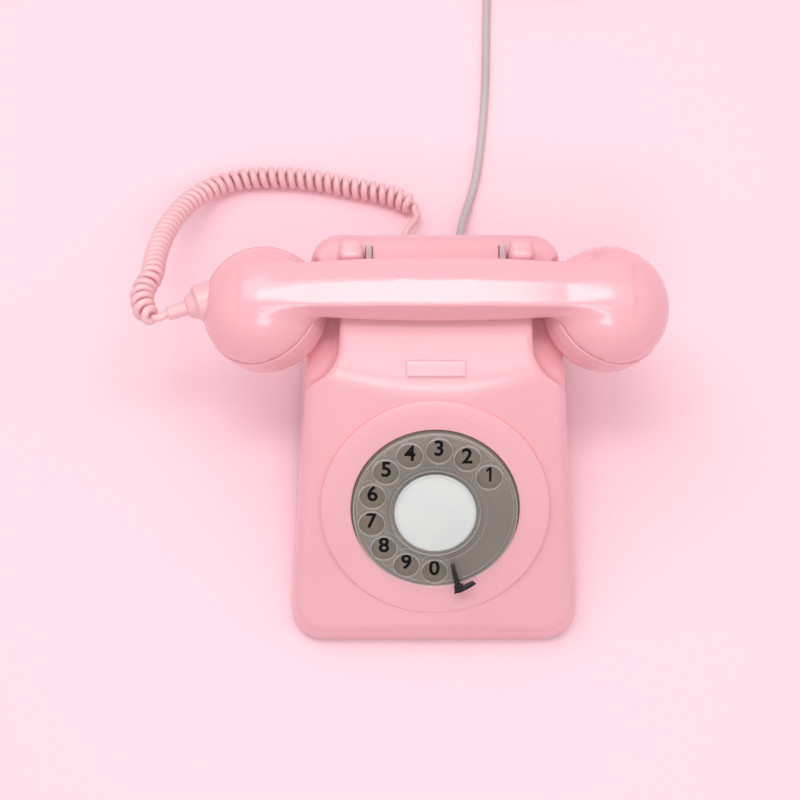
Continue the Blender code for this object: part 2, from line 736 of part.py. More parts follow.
def make_dial_works(frames):
    dial = frames["dial"]
    wheel_frame = frames["wheel"]
    plate_top = -WALL - GAP
    plate_low = plate_top - PLATE_THICKNESS
    shaft_x, shaft_y = polar(GEAR_MODULE * (GEAR_TEETH + PINION_TEETH) / 2 + 0.4, PINION_ANGLE)
    plate_radius = WHEEL_RADIUS + BORE_CLEARANCE + PLATE_OVERLAP
    plate = [
        (SPINDLE_RADIUS + GAP, plate_low),
        (plate_radius, plate_low),
        (plate_radius, plate_top),
        (SPINDLE_RADIUS + GAP, plate_top),
    ]
    solid("dial_plate", turned(plate, 32), MATERIALS["steel"], dial)

    back_low = -BACK_PLATE_DEPTH - BACK_PLATE_THICKNESS
    back = solid(
        "dial_back_plate",
        cylinder(BACK_PLATE_RADIUS, back_low, -BACK_PLATE_DEPTH, 24),
        MATERIALS["steel"],
        dial,
    )
    posts = []
    for angle in (90, 210, 330):
        x, y = polar(POST_RING, angle)
        shape = cylinder(POST_RADIUS, back_low + 0.5, plate_low - GAP, 10)
        posts.append(helper(f"post_{angle}", shape, dial, at=(x, y, 0)))
    combine(back, "UNION", posts)
    bearings = [
        cylinder(SPINDLE_RADIUS + GAP, -40, -15, 20),
        moved(cylinder(SHAFT_RADIUS + GAP, -40, -15, 12), (shaft_x, shaft_y, 0)),
    ]
    combine(back, "DIFFERENCE", [helper("bearing_holes", join(bearings), dial)])

    spindle = cylinder(SPINDLE_RADIUS, back_low - 1, WHEEL_TOP - LABEL_THICKNESS - GAP, 20)
    solid("dial_spindle", spindle, MATERIALS["steel"], wheel_frame)
    gear_high = -GEAR_DEPTH + GEAR_THICKNESS
    gear_solid = gear_shape(GEAR_TEETH, -GEAR_DEPTH, gear_high, PINION_ANGLE)
    gear = solid("main_gear", gear_solid, MATERIALS["brass"], wheel_frame)
    gear_bore = helper("gear_bore", cylinder(SPINDLE_RADIUS + GAP, -20, 0, 16), wheel_frame)
    combine(gear, "DIFFERENCE", [gear_bore])

    place = (shaft_x, shaft_y, 0)
    shaft = cylinder(SHAFT_RADIUS, back_low, plate_low - GAP, 12)
    solid("governor_shaft", shaft, MATERIALS["steel"], dial, at=place)
    half_tooth = 180 / PINION_TEETH
    pinion_low = -GEAR_DEPTH - 0.5
    teeth = gear_shape(PINION_TEETH, pinion_low, gear_high + 0.5, PINION_ANGLE + 180 + half_tooth)
    pinion = solid("governor_pinion", teeth, MATERIALS["brass"], dial, at=place)
    pinion_bore = helper("pinion_bore", cylinder(SHAFT_RADIUS + GAP, -20, 0, 12), dial, at=place)
    combine(pinion, "DIFFERENCE", [pinion_bore])
    drum_top = pinion_low - GAP
    drum = [
        (SHAFT_RADIUS + GAP, drum_top - DRUM_LENGTH),
        (DRUM_RADIUS, drum_top - DRUM_LENGTH),
        (DRUM_RADIUS, drum_top - DRUM_LENGTH + 2.5),
        (DRUM_RADIUS - 2, drum_top - DRUM_LENGTH + 3),
        (DRUM_RADIUS - 2, drum_top),
        (SHAFT_RADIUS + GAP, drum_top),
    ]
    solid("governor_drum", turned(drum, 20), MATERIALS["brass"], dial, at=place)

    spring_low = -BACK_PLATE_DEPTH + GAP
    spring_case = [
        (SPINDLE_RADIUS + GAP, spring_low),
        (SPRING_CASE_RADIUS, spring_low),
        (SPRING_CASE_RADIUS, spring_low + SPRING_CASE_HEIGHT - 1),
        (SPRING_CASE_RADIUS - 1, spring_low + SPRING_CASE_HEIGHT),
        (SPINDLE_RADIUS + GAP, spring_low + SPRING_CASE_HEIGHT),
    ]
    solid("mainspring_case", turned(spring_case, 24), MATERIALS["steel"], dial)

    x, y = polar(22, 20)
    shape = comb_shape(9, 12, 3, 8)
    solid("impulse_contacts", shape, MATERIALS["brass"], dial, at=(x, y, spring_low), turn=(0, 0, 20))


def comb_shape(width, height, leaves, reach):
    """A contact set: a stack block with thin leaves out of one side."""
    outline = [(-width / 2, 0), (width / 2, 0)]
    pitch = (height - 2) / leaves
    for leaf in range(leaves):
        low = 1.2 + leaf * pitch
        outline += [
            (width / 2, low),
            (width / 2 + reach, low),
            (width / 2 + reach, low + 0.6),
            (width / 2, low + 0.6),
        ]
    outline += [(width / 2, height), (-width / 2, height)]
    return side_prism(outline, -3, 3)


def make_hook_switch(frames):
    cradle = frames["cradle"]
    for side, name in ((-1, "left"), (1, "right")):
        low, high = plunger_span(side)
        shape = side_prism(plunger_outline(seat_level()), low, high)
        solid(f"plunger_{name}", shape, MATERIALS["clear"], cradle)
    under = seat_level() - PLUNGER_LENGTH - GAP
    middle = under - LEVER_THICKNESS / 2
    ceiling = seat_level() - WALL - GAP
    bar_half = PRONG_INNER
    arm = LEVER_ARM
    outline = [
        (-bar_half, LEVER_BAR - 3),
        (-arm, LEVER_BAR - 3),
        (-arm, LEVER_PIVOT),
        (arm, LEVER_PIVOT),
        (arm, LEVER_BAR - 3),
        (bar_half, LEVER_BAR - 3),
        (bar_half, LEVER_BAR + 3),
        (-bar_half, LEVER_BAR + 3),
    ]
    pivot = (0, LEVER_PIVOT, middle)
    shape = moved(prism(outline, middle - LEVER_THICKNESS / 2, under), (0, -LEVER_PIVOT, -middle))
    lever = solid("switch_lever", shape, MATERIALS["steel"], cradle, at=pivot)
    barrel = helper("lever_barrel", rod_along_x(PIN_RADIUS + 1.6, -arm, arm, 0, 0), cradle, at=pivot)
    hole = rod_along_x(PIN_RADIUS + GAP, -arm - 5, arm + 5, 0, 0)
    pin_hole = helper("lever_bore", hole, cradle, at=pivot)
    combine(lever, "UNION", [barrel])
    combine(lever, "DIFFERENCE", [pin_hole])

    ear = arm + GAP
    outer = ear + BRACKET_THICKNESS
    drop = middle - PIN_RADIUS - 2.5
    high = ceiling
    low = ceiling - BRACKET_THICKNESS
    section = [(-outer, drop), (-ear, drop), (-ear, low), (ear, low), (ear, drop), (outer, drop)]
    section += [(outer, high), (-outer, high)]
    shape = bmesh.new()
    front, rear = LEVER_PIVOT - 4, LEVER_PIVOT - 4 + BRACKET_LENGTH
    near = [shape.verts.new((x, front, z)) for x, z in section]
    far = [shape.verts.new((x, rear, z)) for x, z in section]
    shape.faces.new(near)
    shape.faces.new(far)
    for i in range(len(section)):
        j = (i + 1) % len(section)
        shape.faces.new([near[i], near[j], far[j], far[i]])
    bracket = solid("switch_bracket", shape, MATERIALS["steel"], cradle)
    combine(bracket, "DIFFERENCE", [pin_hole])
    pin = rod_along_x(PIN_RADIUS, -outer - 1, outer + 1, 0, 0)
    solid("lever_pin", pin, MATERIALS["steel"], cradle, at=pivot)

    height = low - GAP - (middle + 4)
    shape = comb_shape(7, height, 3, 6)
    solid("hook_switch_contacts", shape, MATERIALS["brass"], cradle, at=(0, LEVER_PIVOT + 3, middle + 4))


def bell_front():
    return CLAPPER_PIVOT - GAP - PLATE_GAUGE - COIL_LENGTH - 3


def make_bell():
    floor = floor_height()
    ball_level = GONG_RIM + CLAPPER_BALL
    coil_level = floor + COIL_RADIUS + 2
    wall_rear = CLAPPER_PIVOT - GAP
    wall_front = wall_rear - PLATE_GAUGE
    frame_front = bell_front()
    half = COIL_SPACING / 2 + COIL_RADIUS + 2
    outline = [
        (frame_front, floor),
        (wall_rear, floor),
        (wall_rear, coil_level + COIL_RADIUS + 2),
        (wall_front, coil_level + COIL_RADIUS + 2),
        (wall_front, floor + PLATE_GAUGE),
        (frame_front, floor + PLATE_GAUGE),
    ]
    solid("bell_frame", side_prism(outline, -half, half), MATERIALS["steel"])

    core = COIL_RADIUS - 2.4
    coil = [
        (0, 0),
        (COIL_RADIUS, 0),
        (COIL_RADIUS, 1.5),
        (core, 1.5),
        (core, COIL_LENGTH - 1.5),
        (COIL_RADIUS, COIL_LENGTH - 1.5),
        (COIL_RADIUS, COIL_LENGTH),
        (0, COIL_LENGTH),
    ]
    for side, name in ((-1, "left"), (1, "right")):
        place = (side * COIL_SPACING / 2, wall_front - GAP, coil_level)
        solid(f"bell_coil_{name}", turned(coil, 16), MATERIALS["winding"], at=place, turn=(90, 0, 0))

        stem = GONG_POST - 0.8
        top = GONG_RIM + GONG_HEIGHT
        post = [
            (0, floor),
            (GONG_POST, floor),
            (GONG_POST, top - GONG_WALL - GAP),
            (stem, top - GONG_WALL - GAP),
            (stem, top + GAP),
            (GONG_POST + 1, top + GAP),
            (GONG_POST + 1, top + 2),
            (0, top + 2),
        ]
        place = (side * GONG_X, GONG_Y, 0)
        solid(f"gong_post_{name}", turned(post, 12), MATERIALS["steel"], at=place)
        hole = stem + GAP
        outer = [(GONG_RADIUS * c, GONG_RIM + (top - GONG_RIM) * s) for c, s in quarter(3, 0.6)]
        inside = GONG_RADIUS - GONG_WALL
        rise = top - GONG_WALL - GONG_RIM
        inner = [(inside * c, GONG_RIM + rise * s) for c, s in quarter(3, 0.6)]
        gong = outer[:-1] + [(hole, top), (hole, top - GONG_WALL)] + inner[-2::-1]
        solid(f"gong_{name}", turned(gong, 24), MATERIALS["brass"], at=place)

    reach = GONG_Y - CLAPPER_PIVOT
    clapper = [(0, 0), (CLAPPER_ARM + 0.6, 0), (CLAPPER_ARM + 0.6, 3), (CLAPPER_ARM, 4)]
    for step in range(6):
        angle = math.radians(160 - step * 32)
        if step:
            clapper.append((CLAPPER_BALL * math.sin(angle), reach + CLAPPER_BALL * math.cos(angle)))
        else:
            clapper.append((CLAPPER_ARM, reach + CLAPPER_BALL * math.cos(angle)))
    clapper[-1] = (0, reach + CLAPPER_BALL)
    place = (0, CLAPPER_PIVOT, ball_level)
    solid("clapper", turned(clapper, 12), MATERIALS["steel"], at=place, turn=(-90, 0, 0))


def quarter(steps, squareness):
    """(cosine, sine) pairs over a quarter turn, drawn towards the corner."""
    pairs = []
    for step in range(steps + 1):
        angle = math.pi / 2 * step / steps
        pairs.append((math.cos(angle) ** squareness if step < steps else 0.0, math.sin(angle) ** squareness))
    return pairs


def make_circuit():
    floor = floor_height()
    half, rear = 32.0, bell_front() - BOARD_TO_BELL
    front = rear - BOARD_LENGTH
    top = floor + BOARD_THICKNESS
    solid("circuit_board", block((-half, front, floor), (half, rear, top)), MATERIALS["board"])
    low = top + GAP
    shape = block((-28, front + 4, low), (-6, front + 22, low + 16), 1.0, 1)
    solid("induction_coil", shape, MATERIALS["winding"])
    shape = block((2, front + 4, low), (28, front + 16, low + 11), 1.5, 1)
    solid("capacitor", shape, MATERIALS["steel"])
    shape = block((-26, rear - 9, low), (26, rear - 2, low + 8), 0.6, 1)
    solid("terminal_block", shape, MATERIALS["black"])


def dome_profile(radius, base, height):
    return [(radius * c, base + (height - base) * s) for c, s in quarter(7, 1.0)]


def handle_section(x):
    """The handle's section at x, as (y, z): a shallow roof over drafted sides and a chamfered flat bottom."""
    share = (x / HANDSET_SPREAD) ** 2
    width = HANDLE_HALF_WIDTH * (1 - HANDLE_TAPER * share)
    height = HANDLE_HEIGHT * (1 - HANDLE_TAPER * share)
    low = HANDLE_BOTTOM
    right = [
        (width - HANDLE_CHAMFER, low),
        (width - 0.8, low + HANDLE_CHAMFER * 0.6),
        (width, low + HANDLE_CHAMFER * 1.6),
        (width - 0.9, low + height - HANDLE_SHOULDER - 1.2),
        (width - 2.0, low + height - HANDLE_SHOULDER),
        (width * 0.35, low + height - 0.5),
    ]
    left = [(-y, z) for y, z in reversed(right)]
    return right + left


def make_handset(frames):
    frame = frames["handset"]
    shape = bmesh.new()
    reach = HANDSET_SPREAD - 1
    stations = [reach * s for s in (-1, -0.85, -0.68, -0.5, -0.3, -0.1, 0.1, 0.3, 0.5, 0.68, 0.85, 1)]
    rings = [[shape.verts.new((x, y, z)) for y, z in handle_section(x)] for x in stations]
    shape.faces.new(rings[0])
    shape.faces.new(rings[-1])
    for near, far in zip(rings, rings[1:]):
        for i in range(len(near)):
            j = (i + 1) % len(near)
            shape.faces.new([near[i], near[j], far[j], far[i]])
    bmesh.ops.triangulate(shape, faces=shape.faces)
    shell = solid("handset_shell", shape, MATERIALS["pink"], frame)

    outer = [(0, 0)] + dome_profile(DOME_RADIUS, 0, DOME_HEIGHT)
    inside = DOME_RADIUS - HANDSET_WALL
    inner = [(0, -3), (inside, -3)] + dome_profile(inside, 1, DOME_HEIGHT - HANDSET_WALL)
    ends = ("ear", "mouth")
    room = (CAP_RADIUS + GAP, -CAP_HEIGHT - 5, -0.1)
    rooms = [helper(f"cap_room_{end}", cylinder(*room, 28), frames[end]) for end in ends]
    domes = [helper(f"dome_{end}", turned(outer, 28), frames[end]) for end in ends]
    hollows = [helper(f"dome_hollow_{end}", turned(inner, 24), frames[end]) for end in ends]
    combine(shell, "DIFFERENCE", rooms, "MANIFOLD")  # EXACT leaves open edges on this shell
    combine(shell, "UNION", domes, "MANIFOLD")
    combine(shell, "DIFFERENCE", hollows, "MANIFOLD")

    face = -CAP_HEIGHT
    band = -CAP_BAND
    inside = face + CAP_WALL
    cap = [
        (0, face + CAP_DISH),
        (CAP_RADIUS * 0.55, face + CAP_DISH * 0.6),
        (CAP_RADIUS * 0.72, face),
        (CAP_RADIUS * 0.88, face + 0.9),
        (CAP_RADIUS - 1.2, band - 2.6),
        (CAP_RADIUS, band),
        (CAP_RADIUS, -GAP),
        (CAP_RADIUS - CAP_WALL, -GAP),
        (CAP_RADIUS - CAP_WALL, band),
        (CAP_RADIUS * 0.75, inside + 0.5),
        (CAP_RADIUS * 0.5, inside + CAP_DISH),
        (0, inside + CAP_DISH),
    ]
    rest = inside + CAP_DISH + GAP
    capsule = [
        (0, rest),
        (CAPSULE_RADIUS - 4, rest),
        (CAPSULE_RADIUS, rest + 3),
        (CAPSULE_RADIUS, rest + CAPSULE_HEIGHT - 2),
        (CAPSULE_RADIUS - 2, rest + CAPSULE_HEIGHT),
        (0, rest + CAPSULE_HEIGHT),
    ]
    names = {"ear": ("earpiece_cap", "receiver_capsule"), "mouth": ("mouthpiece_cap", "transmitter_capsule")}
    for end, (cap_name, capsule_name) in names.items():
        obj = solid(cap_name, turned(cap, 28), MATERIALS["pink"], frames[end])
        holes = [cylinder(SOUND_HOLE, face - 2, inside + 4, 6)]
        for i in range(SOUND_HOLES):
            x, y = polar(SOUND_HOLE_RING, 360 * i / SOUND_HOLES)
            holes.append(moved(cylinder(SOUND_HOLE, face - 2, inside + 4, 6), (x, y, 0)))
        combine(obj, "DIFFERENCE", [helper(f"sound_holes_{end}", join(holes), frames[end])])
        solid(capsule_name, turned(capsule, 20), MATERIALS["steel"], frames[end])

    nozzle = [
        (0, -DOME_RADIUS / 2),
        (NOZZLE_FLARE, -DOME_RADIUS / 2),
        (NOZZLE_FLARE, 1.8),
        (SLEEVE_RADIUS + 1, NOZZLE_CONE),
        (SLEEVE_RADIUS + 0.2, NOZZLE_CONE + 0.3),
        (SLEEVE_RADIUS - 0.4, NOZZLE_CONE + SLEEVE_LENGTH),
        (0, NOZZLE_CONE + SLEEVE_LENGTH),
    ]
    piece = solid(
        "handset_cord_nozzle",
        turned(nozzle, 20),
        MATERIALS["pale_pink"],
        frame,
        at=nozzle_root(),
        turn=(0, -90, NOZZLE_TURN),
    )
    clear = [(0, -CAP_HEIGHT), (DOME_RADIUS + GAP, -CAP_HEIGHT), (DOME_RADIUS + GAP, 0)]
    clear += dome_profile(DOME_RADIUS + GAP, 0, DOME_HEIGHT + GAP)[1:]
    combine(piece, "DIFFERENCE", [helper("nozzle_seat", turned(clear, 40), frames["mouth"])])


def nozzle_root():
    """Where the nozzle stands on the dome, in the handset's frame."""
    lean = math.radians(CAP_TILT)
    reach = math.hypot(DOME_RADIUS * math.cos(lean), DOME_HEIGHT * math.sin(lean))
    return Vector((-HANDSET_SPREAD - reach, 0, NOZZLE_RAISE))


def nozzle_tip():
    """Where the handset's sleeve ends, in the handset's frame."""
    length = NOZZLE_CONE + SLEEVE_LENGTH
    turn = math.radians(NOZZLE_TURN)
    return nozzle_root() - Vector((math.cos(turn), math.sin(turn), 0)) * length


def make_grommets():
    face = CASE_DEPTH / 2
    inner = face - WALL - 4.5
    bore = {"curly": CURLY_WIRE / 2, "line": LINE_DIAMETER / 2}
    for name, x in (("curly", CURLY_EXIT), ("line", LINE_EXIT)):
        profile = [
            (0, -inner),
            (GROMMET_RADIUS, -inner),
            (GROMMET_RADIUS, -face - 0.2),
            (GROMMET_FLANGE, -face - 0.2),
            (GROMMET_FLANGE, -face - 1.6),
            (GROMMET_RADIUS, -face - 2.0),
            (bore[name] + 0.9, -face - GROMMET_NOSE),
            (0, -face - GROMMET_NOSE),
        ]
        owner = "handset_cord" if name == "curly" else "line_cord"
        solid(
            f"{owner}_grommet",
            turned(profile, 12),
            MATERIALS["grey" if name == "line" else "pale_pink"],
            at=(x, 0, GROMMET_HEIGHT),
            turn=(90, 0, 0),
        )


def smooth_curve(points, spacing):
    """Points at an even spacing on a smooth curve through the route's own points."""
    route = np.array(points, float)
    ends = np.vstack([2 * route[0] - route[1], route, 2 * route[-1] - route[-2]])
    fine = []
    for a, b, c, d in zip(ends, ends[1:], ends[2:], ends[3:]):
        for t in np.linspace(0, 1, 40, endpoint=False):
            fine.append(
                0.5 * (2 * b + (c - a) * t + (2 * a - 5 * b + 4 * c - d) * t**2 + (3 * b - a - 3 * c + d) * t**3)
            )
    fine.append(route[-1])
    fine = np.array(fine)
    along = np.concatenate([[0], np.cumsum(np.linalg.norm(np.diff(fine, axis=0), axis=1))])
    count = max(2, int(round(along[-1] / spacing)))
    even = np.linspace(0, along[-1], count + 1)
    return np.column_stack([np.interp(even, along, fine[:, axis]) for axis in range(3)])


def tube(name, points, diameter, resolution, material):
    curve = bpy.data.curves.new(name, "CURVE")
    curve.dimensions = "3D"
    curve.bevel_depth = diameter / 2 * MM
    curve.bevel_resolution = resolution
    curve.use_fill_caps = True
    spline = curve.splines.new("POLY")
    spline.points.add(len(points) - 1)
    for point, place in zip(spline.points, points):
        point.co = (*(Vector(place) * MM), 1.0)
    curve.materials.append(material)
    obj = bpy.data.objects.new(name, curve)
    bpy.context.scene.collection.objects.link(obj)
    return obj


def least_gap(points, diameter, apart):
    """The least gap between stretches of a tube that are some points apart along it."""
    fine = []
    for a, b in zip(points, points[1:]):
        fine += [a + (b - a) * t for t in (0, 0.25, 0.5, 0.75)]
    fine = np.array(fine)
    least = 1e9
    for i in range(len(fine)):
        rest = fine[i + apart * 4 :]
        if len(rest):
            least = min(least, np.linalg.norm(rest - fine[i], axis=1).min())
    return least - diameter


def curly_route(start):
    """The curly cord's middle line, from the handset's sleeve over the table to the back of the case."""
    rest = CURLY_OUTER / 2 + 0.3
    end = CASE_DEPTH / 2 + GROMMET_NOSE + GAP
    return [
        start,
        start + Vector((-4.2, -1.9, -0.3)),
        start + Vector((-8.6, -0.3, -1.0)),
        start + Vector((-11.7, 6.3, -3.9)),
        start + Vector((-12.6, 13.5, -8.2)),
        start + Vector((-10.0, 23.6, -15.1)),
        (-133.7, 78.5, 60.6),
        (-133.2, 91.5, 48.4),
        (-131.2, 103.6, 37.0),
        (-127.2, 116.6, 24.6),
        (-120.6, 127.6, 14.6),
        (-111.0, 135.9, 8.4),
        (-98.0, 140.3, rest),
        (-85.0, 141.2, rest),
        (-71.0, 140.7, rest),
        (-58.0, 139.2, rest),
        (-45.0, 136.5, rest),
        (-32.0, 133.7, rest),
        (-20.5, 130.8, rest),
        (-11.5, 126.2, rest),
        (-7.6, 119.8, rest + 0.8),
        (-10.2, 114.6, GROMMET_HEIGHT - 0.6),
        (-13.4, 110.4, GROMMET_HEIGHT),
        (CURLY_EXIT, 107.2, GROMMET_HEIGHT),
        (CURLY_EXIT, end, GROMMET_HEIGHT),
    ]


def make_curly_cord(start):
    route = smooth_curve(curly_route(start), 0.5)
    route[:, 2] = np.maximum(route[:, 2], CURLY_WIRE / 2 + 0.2)
    along = np.arange(len(route)) / (len(route) - 1)
    lead_in, lead_out = 0.0207, 0.08
    count = CURLY_TURNS * CURL_POINTS
    places = [0.0, lead_in * 0.55]
    places += list(np.linspace(lead_in, 1 - lead_out, count + 1))
    places += [1 - lead_out * 0.7, 1 - lead_out * 0.38, 1 - lead_out * 0.15, 1.0]
    radius = (CURLY_OUTER - CURLY_WIRE) / 2
    tangents = np.gradient(route, axis=0)
    tangents /= np.linalg.norm(tangents, axis=1)[:, None]
    side = np.cross(tangents[0], (0, 0, 1))
    sides = []
    for tangent in tangents:
        side = side - tangent * side.dot(tangent)
        side /= np.linalg.norm(side)
        sides.append(side)
    sides = np.array(sides)
    ups = np.cross(tangents, sides)
    points = []
    for place in places:
        middle = np.array([np.interp(place, along, route[:, axis]) for axis in range(3)])
        index = min(int(place * (len(route) - 1)), len(route) - 1)
        turn = (place - lead_in) / (1 - lead_in - lead_out) * CURLY_TURNS
        grow = min(1.0, max(0.0, turn / 0.9), max(0.0, (CURLY_TURNS - turn) / 0.9))
        angle = 2 * math.pi * turn
        offset = sides[index] * math.cos(angle) + ups[index] * math.sin(angle)
        points.append(middle + offset * radius * grow)
    print(f"curly cord: least gap to itself {least_gap(points, CURLY_WIRE, CURL_POINTS - 3):.2f} mm")
    tube("handset_cord", points, CURLY_WIRE, 1, MATERIALS["pink"])


def coil_centre():
    reach = COIL_MEAN_RADIUS + LOOP_PITCH * LAYER_LOOPS / 2
    return 31.0 + reach, 288.0


def coil_points():
    """The coil's loops spiral in and out, a layer higher after each spiral, and a tail comes down beside them."""
    centre_x, centre_y = coil_centre()
    base = 0.2 + TIE_GAUGE + GAP + LINE_DIAMETER / 2
    outer = COIL_MEAN_RADIUS + LOOP_PITCH * LAYER_LOOPS / 2
    spiral = LAYER_LOOPS - 0.5
    total = COIL_LAYERS * LAYER_LOOPS - 0.5
    points = []
    for step in range(int(total * LOOP_POINTS) + 1):
        turns = step / LOOP_POINTS
        layer = min(int(turns / LAYER_LOOPS), COIL_LAYERS - 1)
        within = turns - layer * LAYER_LOOPS
        wound = min(within, spiral)
        climb = max(0.0, within - spiral) / 0.5 if layer < COIL_LAYERS - 1 else 0.0
        inward = wound * LOOP_PITCH
        radius = outer - inward if layer % 2 == 0 else outer - spiral * LOOP_PITCH + inward
        angle = math.pi - 2 * math.pi * turns
        x = centre_x + radius * math.cos(angle)
        y = centre_y + radius * math.sin(angle)
        points.append(np.array((x, y, base + (layer + climb) * LOOP_PITCH)))
    first = points[0] - np.array((0, LINE_DIAMETER, 0))
    top = points[-1]
    rest = PLUG_HALF_HEIGHT + 0.2
    for step in range(1, 9):
        along = TAIL_LENGTH * step / 8
        fall = min(1.0, max(0.0, (along - 9) / (TAIL_LENGTH - LINE_DIAMETER - 10)))
        drop = (top[2] - rest) * (1 - math.cos(math.pi * fall)) / 2
        points.append(top + np.array((along, 0.006 * min(along, 40) ** 2, -drop)))
    last = points[-1] + np.array((LINE_DIAMETER, 0, 0))
    return [first] + points + [last]


def line_route():
    """The line cord's free stretch, from the back of the case to the start of its coil."""
    rest = LINE_DIAMETER / 2 + 0.1
    start = CASE_DEPTH / 2 + GROMMET_NOSE + GAP
    x, y, z = coil_points()[0]
    ends = (LINE_EXIT, start, GROMMET_HEIGHT), (x, y - GAP, z)
    middle = [
        (LINE_EXIT, start + LINE_DIAMETER, GROMMET_HEIGHT),
        (LINE_EXIT + 1.8, start + 13, GROMMET_HEIGHT - 3.2),
        (LINE_EXIT + 5.0, start + 24, rest + 1.2),
        (LINE_EXIT + 8.8, start + 38, rest),
        (LINE_EXIT + 12.0, start + 60, rest),
        (LINE_EXIT + 14.5, start + 90, rest),
        (x - 0.8, y - 50, rest),
        (x, y - 22, rest + 0.4),
        (x, y - GAP - LINE_DIAMETER, z),
    ]
    return [np.array(ends[0])] + list(smooth_curve(middle, 2.2 * LINE_DIAMETER)) + [np.array(ends[1])]


def make_line_cord():
    free = line_route()
    tube("line_cord", free, LINE_DIAMETER, 2, MATERIALS["grey"])
    coil = coil_points()
    print(f"line cord's coil: least gap to itself {least_gap(coil, LINE_DIAMETER, LOOP_POINTS // 2):.2f} mm")
    tube("line_cord_coil", coil, LINE_DIAMETER, 1, MATERIALS["grey"])
    length = sum(np.linalg.norm(np.diff(np.array(points), axis=0), axis=1).sum() for points in (free, coil))
    print(f"line cord: {length:.0f} mm in all")

    outer = COIL_MEAN_RADIUS + LOOP_PITCH * LAYER_LOOPS / 2 + LINE_DIAMETER / 2 + 2 * GAP
    inner = outer - LOOP_PITCH * (LAYER_LOOPS - 0.5) - LINE_DIAMETER - 5 * GAP
    low = 0.2
    high = low + 2 * TIE_GAUGE + 2 * GAP + LOOP_PITCH * (COIL_LAYERS - 1) + LINE_DIAMETER
    hole = [(inner, low + TIE_GAUGE), (outer, low + TIE_GAUGE), (outer, high - TIE_GAUGE), (inner, high - TIE_GAUGE)]
    band = [(inner - TIE_GAUGE, low), (outer + TIE_GAUGE, low), (outer + TIE_GAUGE, high), (inner - TIE_GAUGE, high)]
    shape = bmesh.new()
    rings = []
    for points, y in ((band, 0), (band, TIE_WIDTH), (hole, TIE_WIDTH), (hole, 0)):
        rings.append([shape.verts.new((x, y - TIE_WIDTH / 2, z)) for x, z in points])
    for ring, following in zip(rings, rings[1:] + rings[:1]):
        for i in range(4):
            j = (i + 1) % 4
            shape.faces.new([ring[i], ring[j], following[j], following[i]])
    solid("cord_tie", shape, MATERIALS["white"], at=(*coil_centre(), 0), turn=(0, 0, -25))

    place = Vector(coil[-1]) + Vector((GAP, 0, 0))
    low = (0, -PLUG_HALF_WIDTH, -PLUG_HALF_HEIGHT)
    high = (PLUG_LENGTH, PLUG_HALF_WIDTH, PLUG_HALF_HEIGHT)
    solid("line_plug", block(low, high, 1.0), MATERIALS["grey"], at=place)
    top = PLUG_HALF_HEIGHT + GAP
    outline = [(2, top), (15, top), (15, top + 1.2), (12, top + 1.6), (4, top + 3.8), (3.2, top + 3), (9, top + 1.1)]
    outline += [(2, top + 1.1)]
    shape = prism(outline, -2.5, 2.5)
    solid("plug_latch", shape, MATERIALS["grey"], at=place, turn=(90, 0, 0))


def make_frames():
    dial_y, dial_z = face_point(LIP_TO_DIAL)
    seat_y, seat_z = seat_middle()
    lean = math.radians(SEAT_TILT)
    origin_y = seat_y - seat_level() * math.sin(lean)
    origin_z = seat_z - seat_level() * math.cos(lean)
    frames = {
        "dial": make_frame("dial_frame", dial_y, dial_z, DIAL_TILT),
        "wheel": make_frame("finger_wheel_frame", dial_y, dial_z, DIAL_TILT),
        "block": make_frame("block_frame", *ridge(), block_tilt()),
        "cradle": make_frame("cradle_frame", origin_y, origin_z, -SEAT_TILT),
        "handset": make_frame("handset_frame", origin_y, origin_z, -SEAT_TILT),
    }
    for end, side in (("ear", 1), ("mouth", -1)):
        for name, parent in ((end, "handset"), (f"{end}_seat", "cradle")):
            frame = make_frame(f"{name}_frame", 0, 0, 0)
            frame.parent = frames[parent]
            frame.location = (side * HANDSET_SPREAD * MM, 0, 0)
            frame.rotation_euler = (0, math.radians(side * CAP_TILT), 0)
            frames[name] = frame
    return frames


remove_everything()
MATERIALS = make_materials()
FRAMES = make_frames()
make_case(FRAMES)
make_label_plate(FRAMES)
make_base()
make_dial_face(FRAMES)
make_dial_works(FRAMES)
make_hook_switch(FRAMES)
make_bell()
make_circuit()
make_handset(FRAMES)
make_grommets()
bpy.context.view_layer.update()
TIP = FRAMES["handset"].matrix_world @ (Vector(nozzle_tip()) * MM)
make_curly_cord(TIP / MM + Vector((-GAP - 0.2, -0.15, 0)))
make_line_cord()
bpy.context.view_layer.update()
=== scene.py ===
import math

import bmesh
import bpy
import numpy as np
from mathutils import Matrix, Vector


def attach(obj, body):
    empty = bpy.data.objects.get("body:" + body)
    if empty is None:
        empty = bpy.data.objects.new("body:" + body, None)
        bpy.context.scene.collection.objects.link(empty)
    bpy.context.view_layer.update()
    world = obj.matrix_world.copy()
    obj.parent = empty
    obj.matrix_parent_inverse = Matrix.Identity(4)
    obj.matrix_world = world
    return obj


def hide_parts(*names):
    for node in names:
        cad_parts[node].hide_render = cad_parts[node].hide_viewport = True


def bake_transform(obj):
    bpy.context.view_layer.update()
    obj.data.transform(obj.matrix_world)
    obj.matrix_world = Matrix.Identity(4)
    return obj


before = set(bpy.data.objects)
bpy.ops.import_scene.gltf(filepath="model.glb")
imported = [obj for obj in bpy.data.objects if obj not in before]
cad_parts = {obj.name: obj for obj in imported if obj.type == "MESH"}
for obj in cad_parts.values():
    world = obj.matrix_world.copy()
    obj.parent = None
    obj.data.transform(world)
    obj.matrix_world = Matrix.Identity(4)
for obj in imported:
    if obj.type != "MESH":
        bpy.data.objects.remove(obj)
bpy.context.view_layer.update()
print("frame loaded:", len(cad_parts), "nodes")

mm = 0.001
allPieces = {}


def moved(x, y, z):
    return Matrix.Translation((x, y, z))


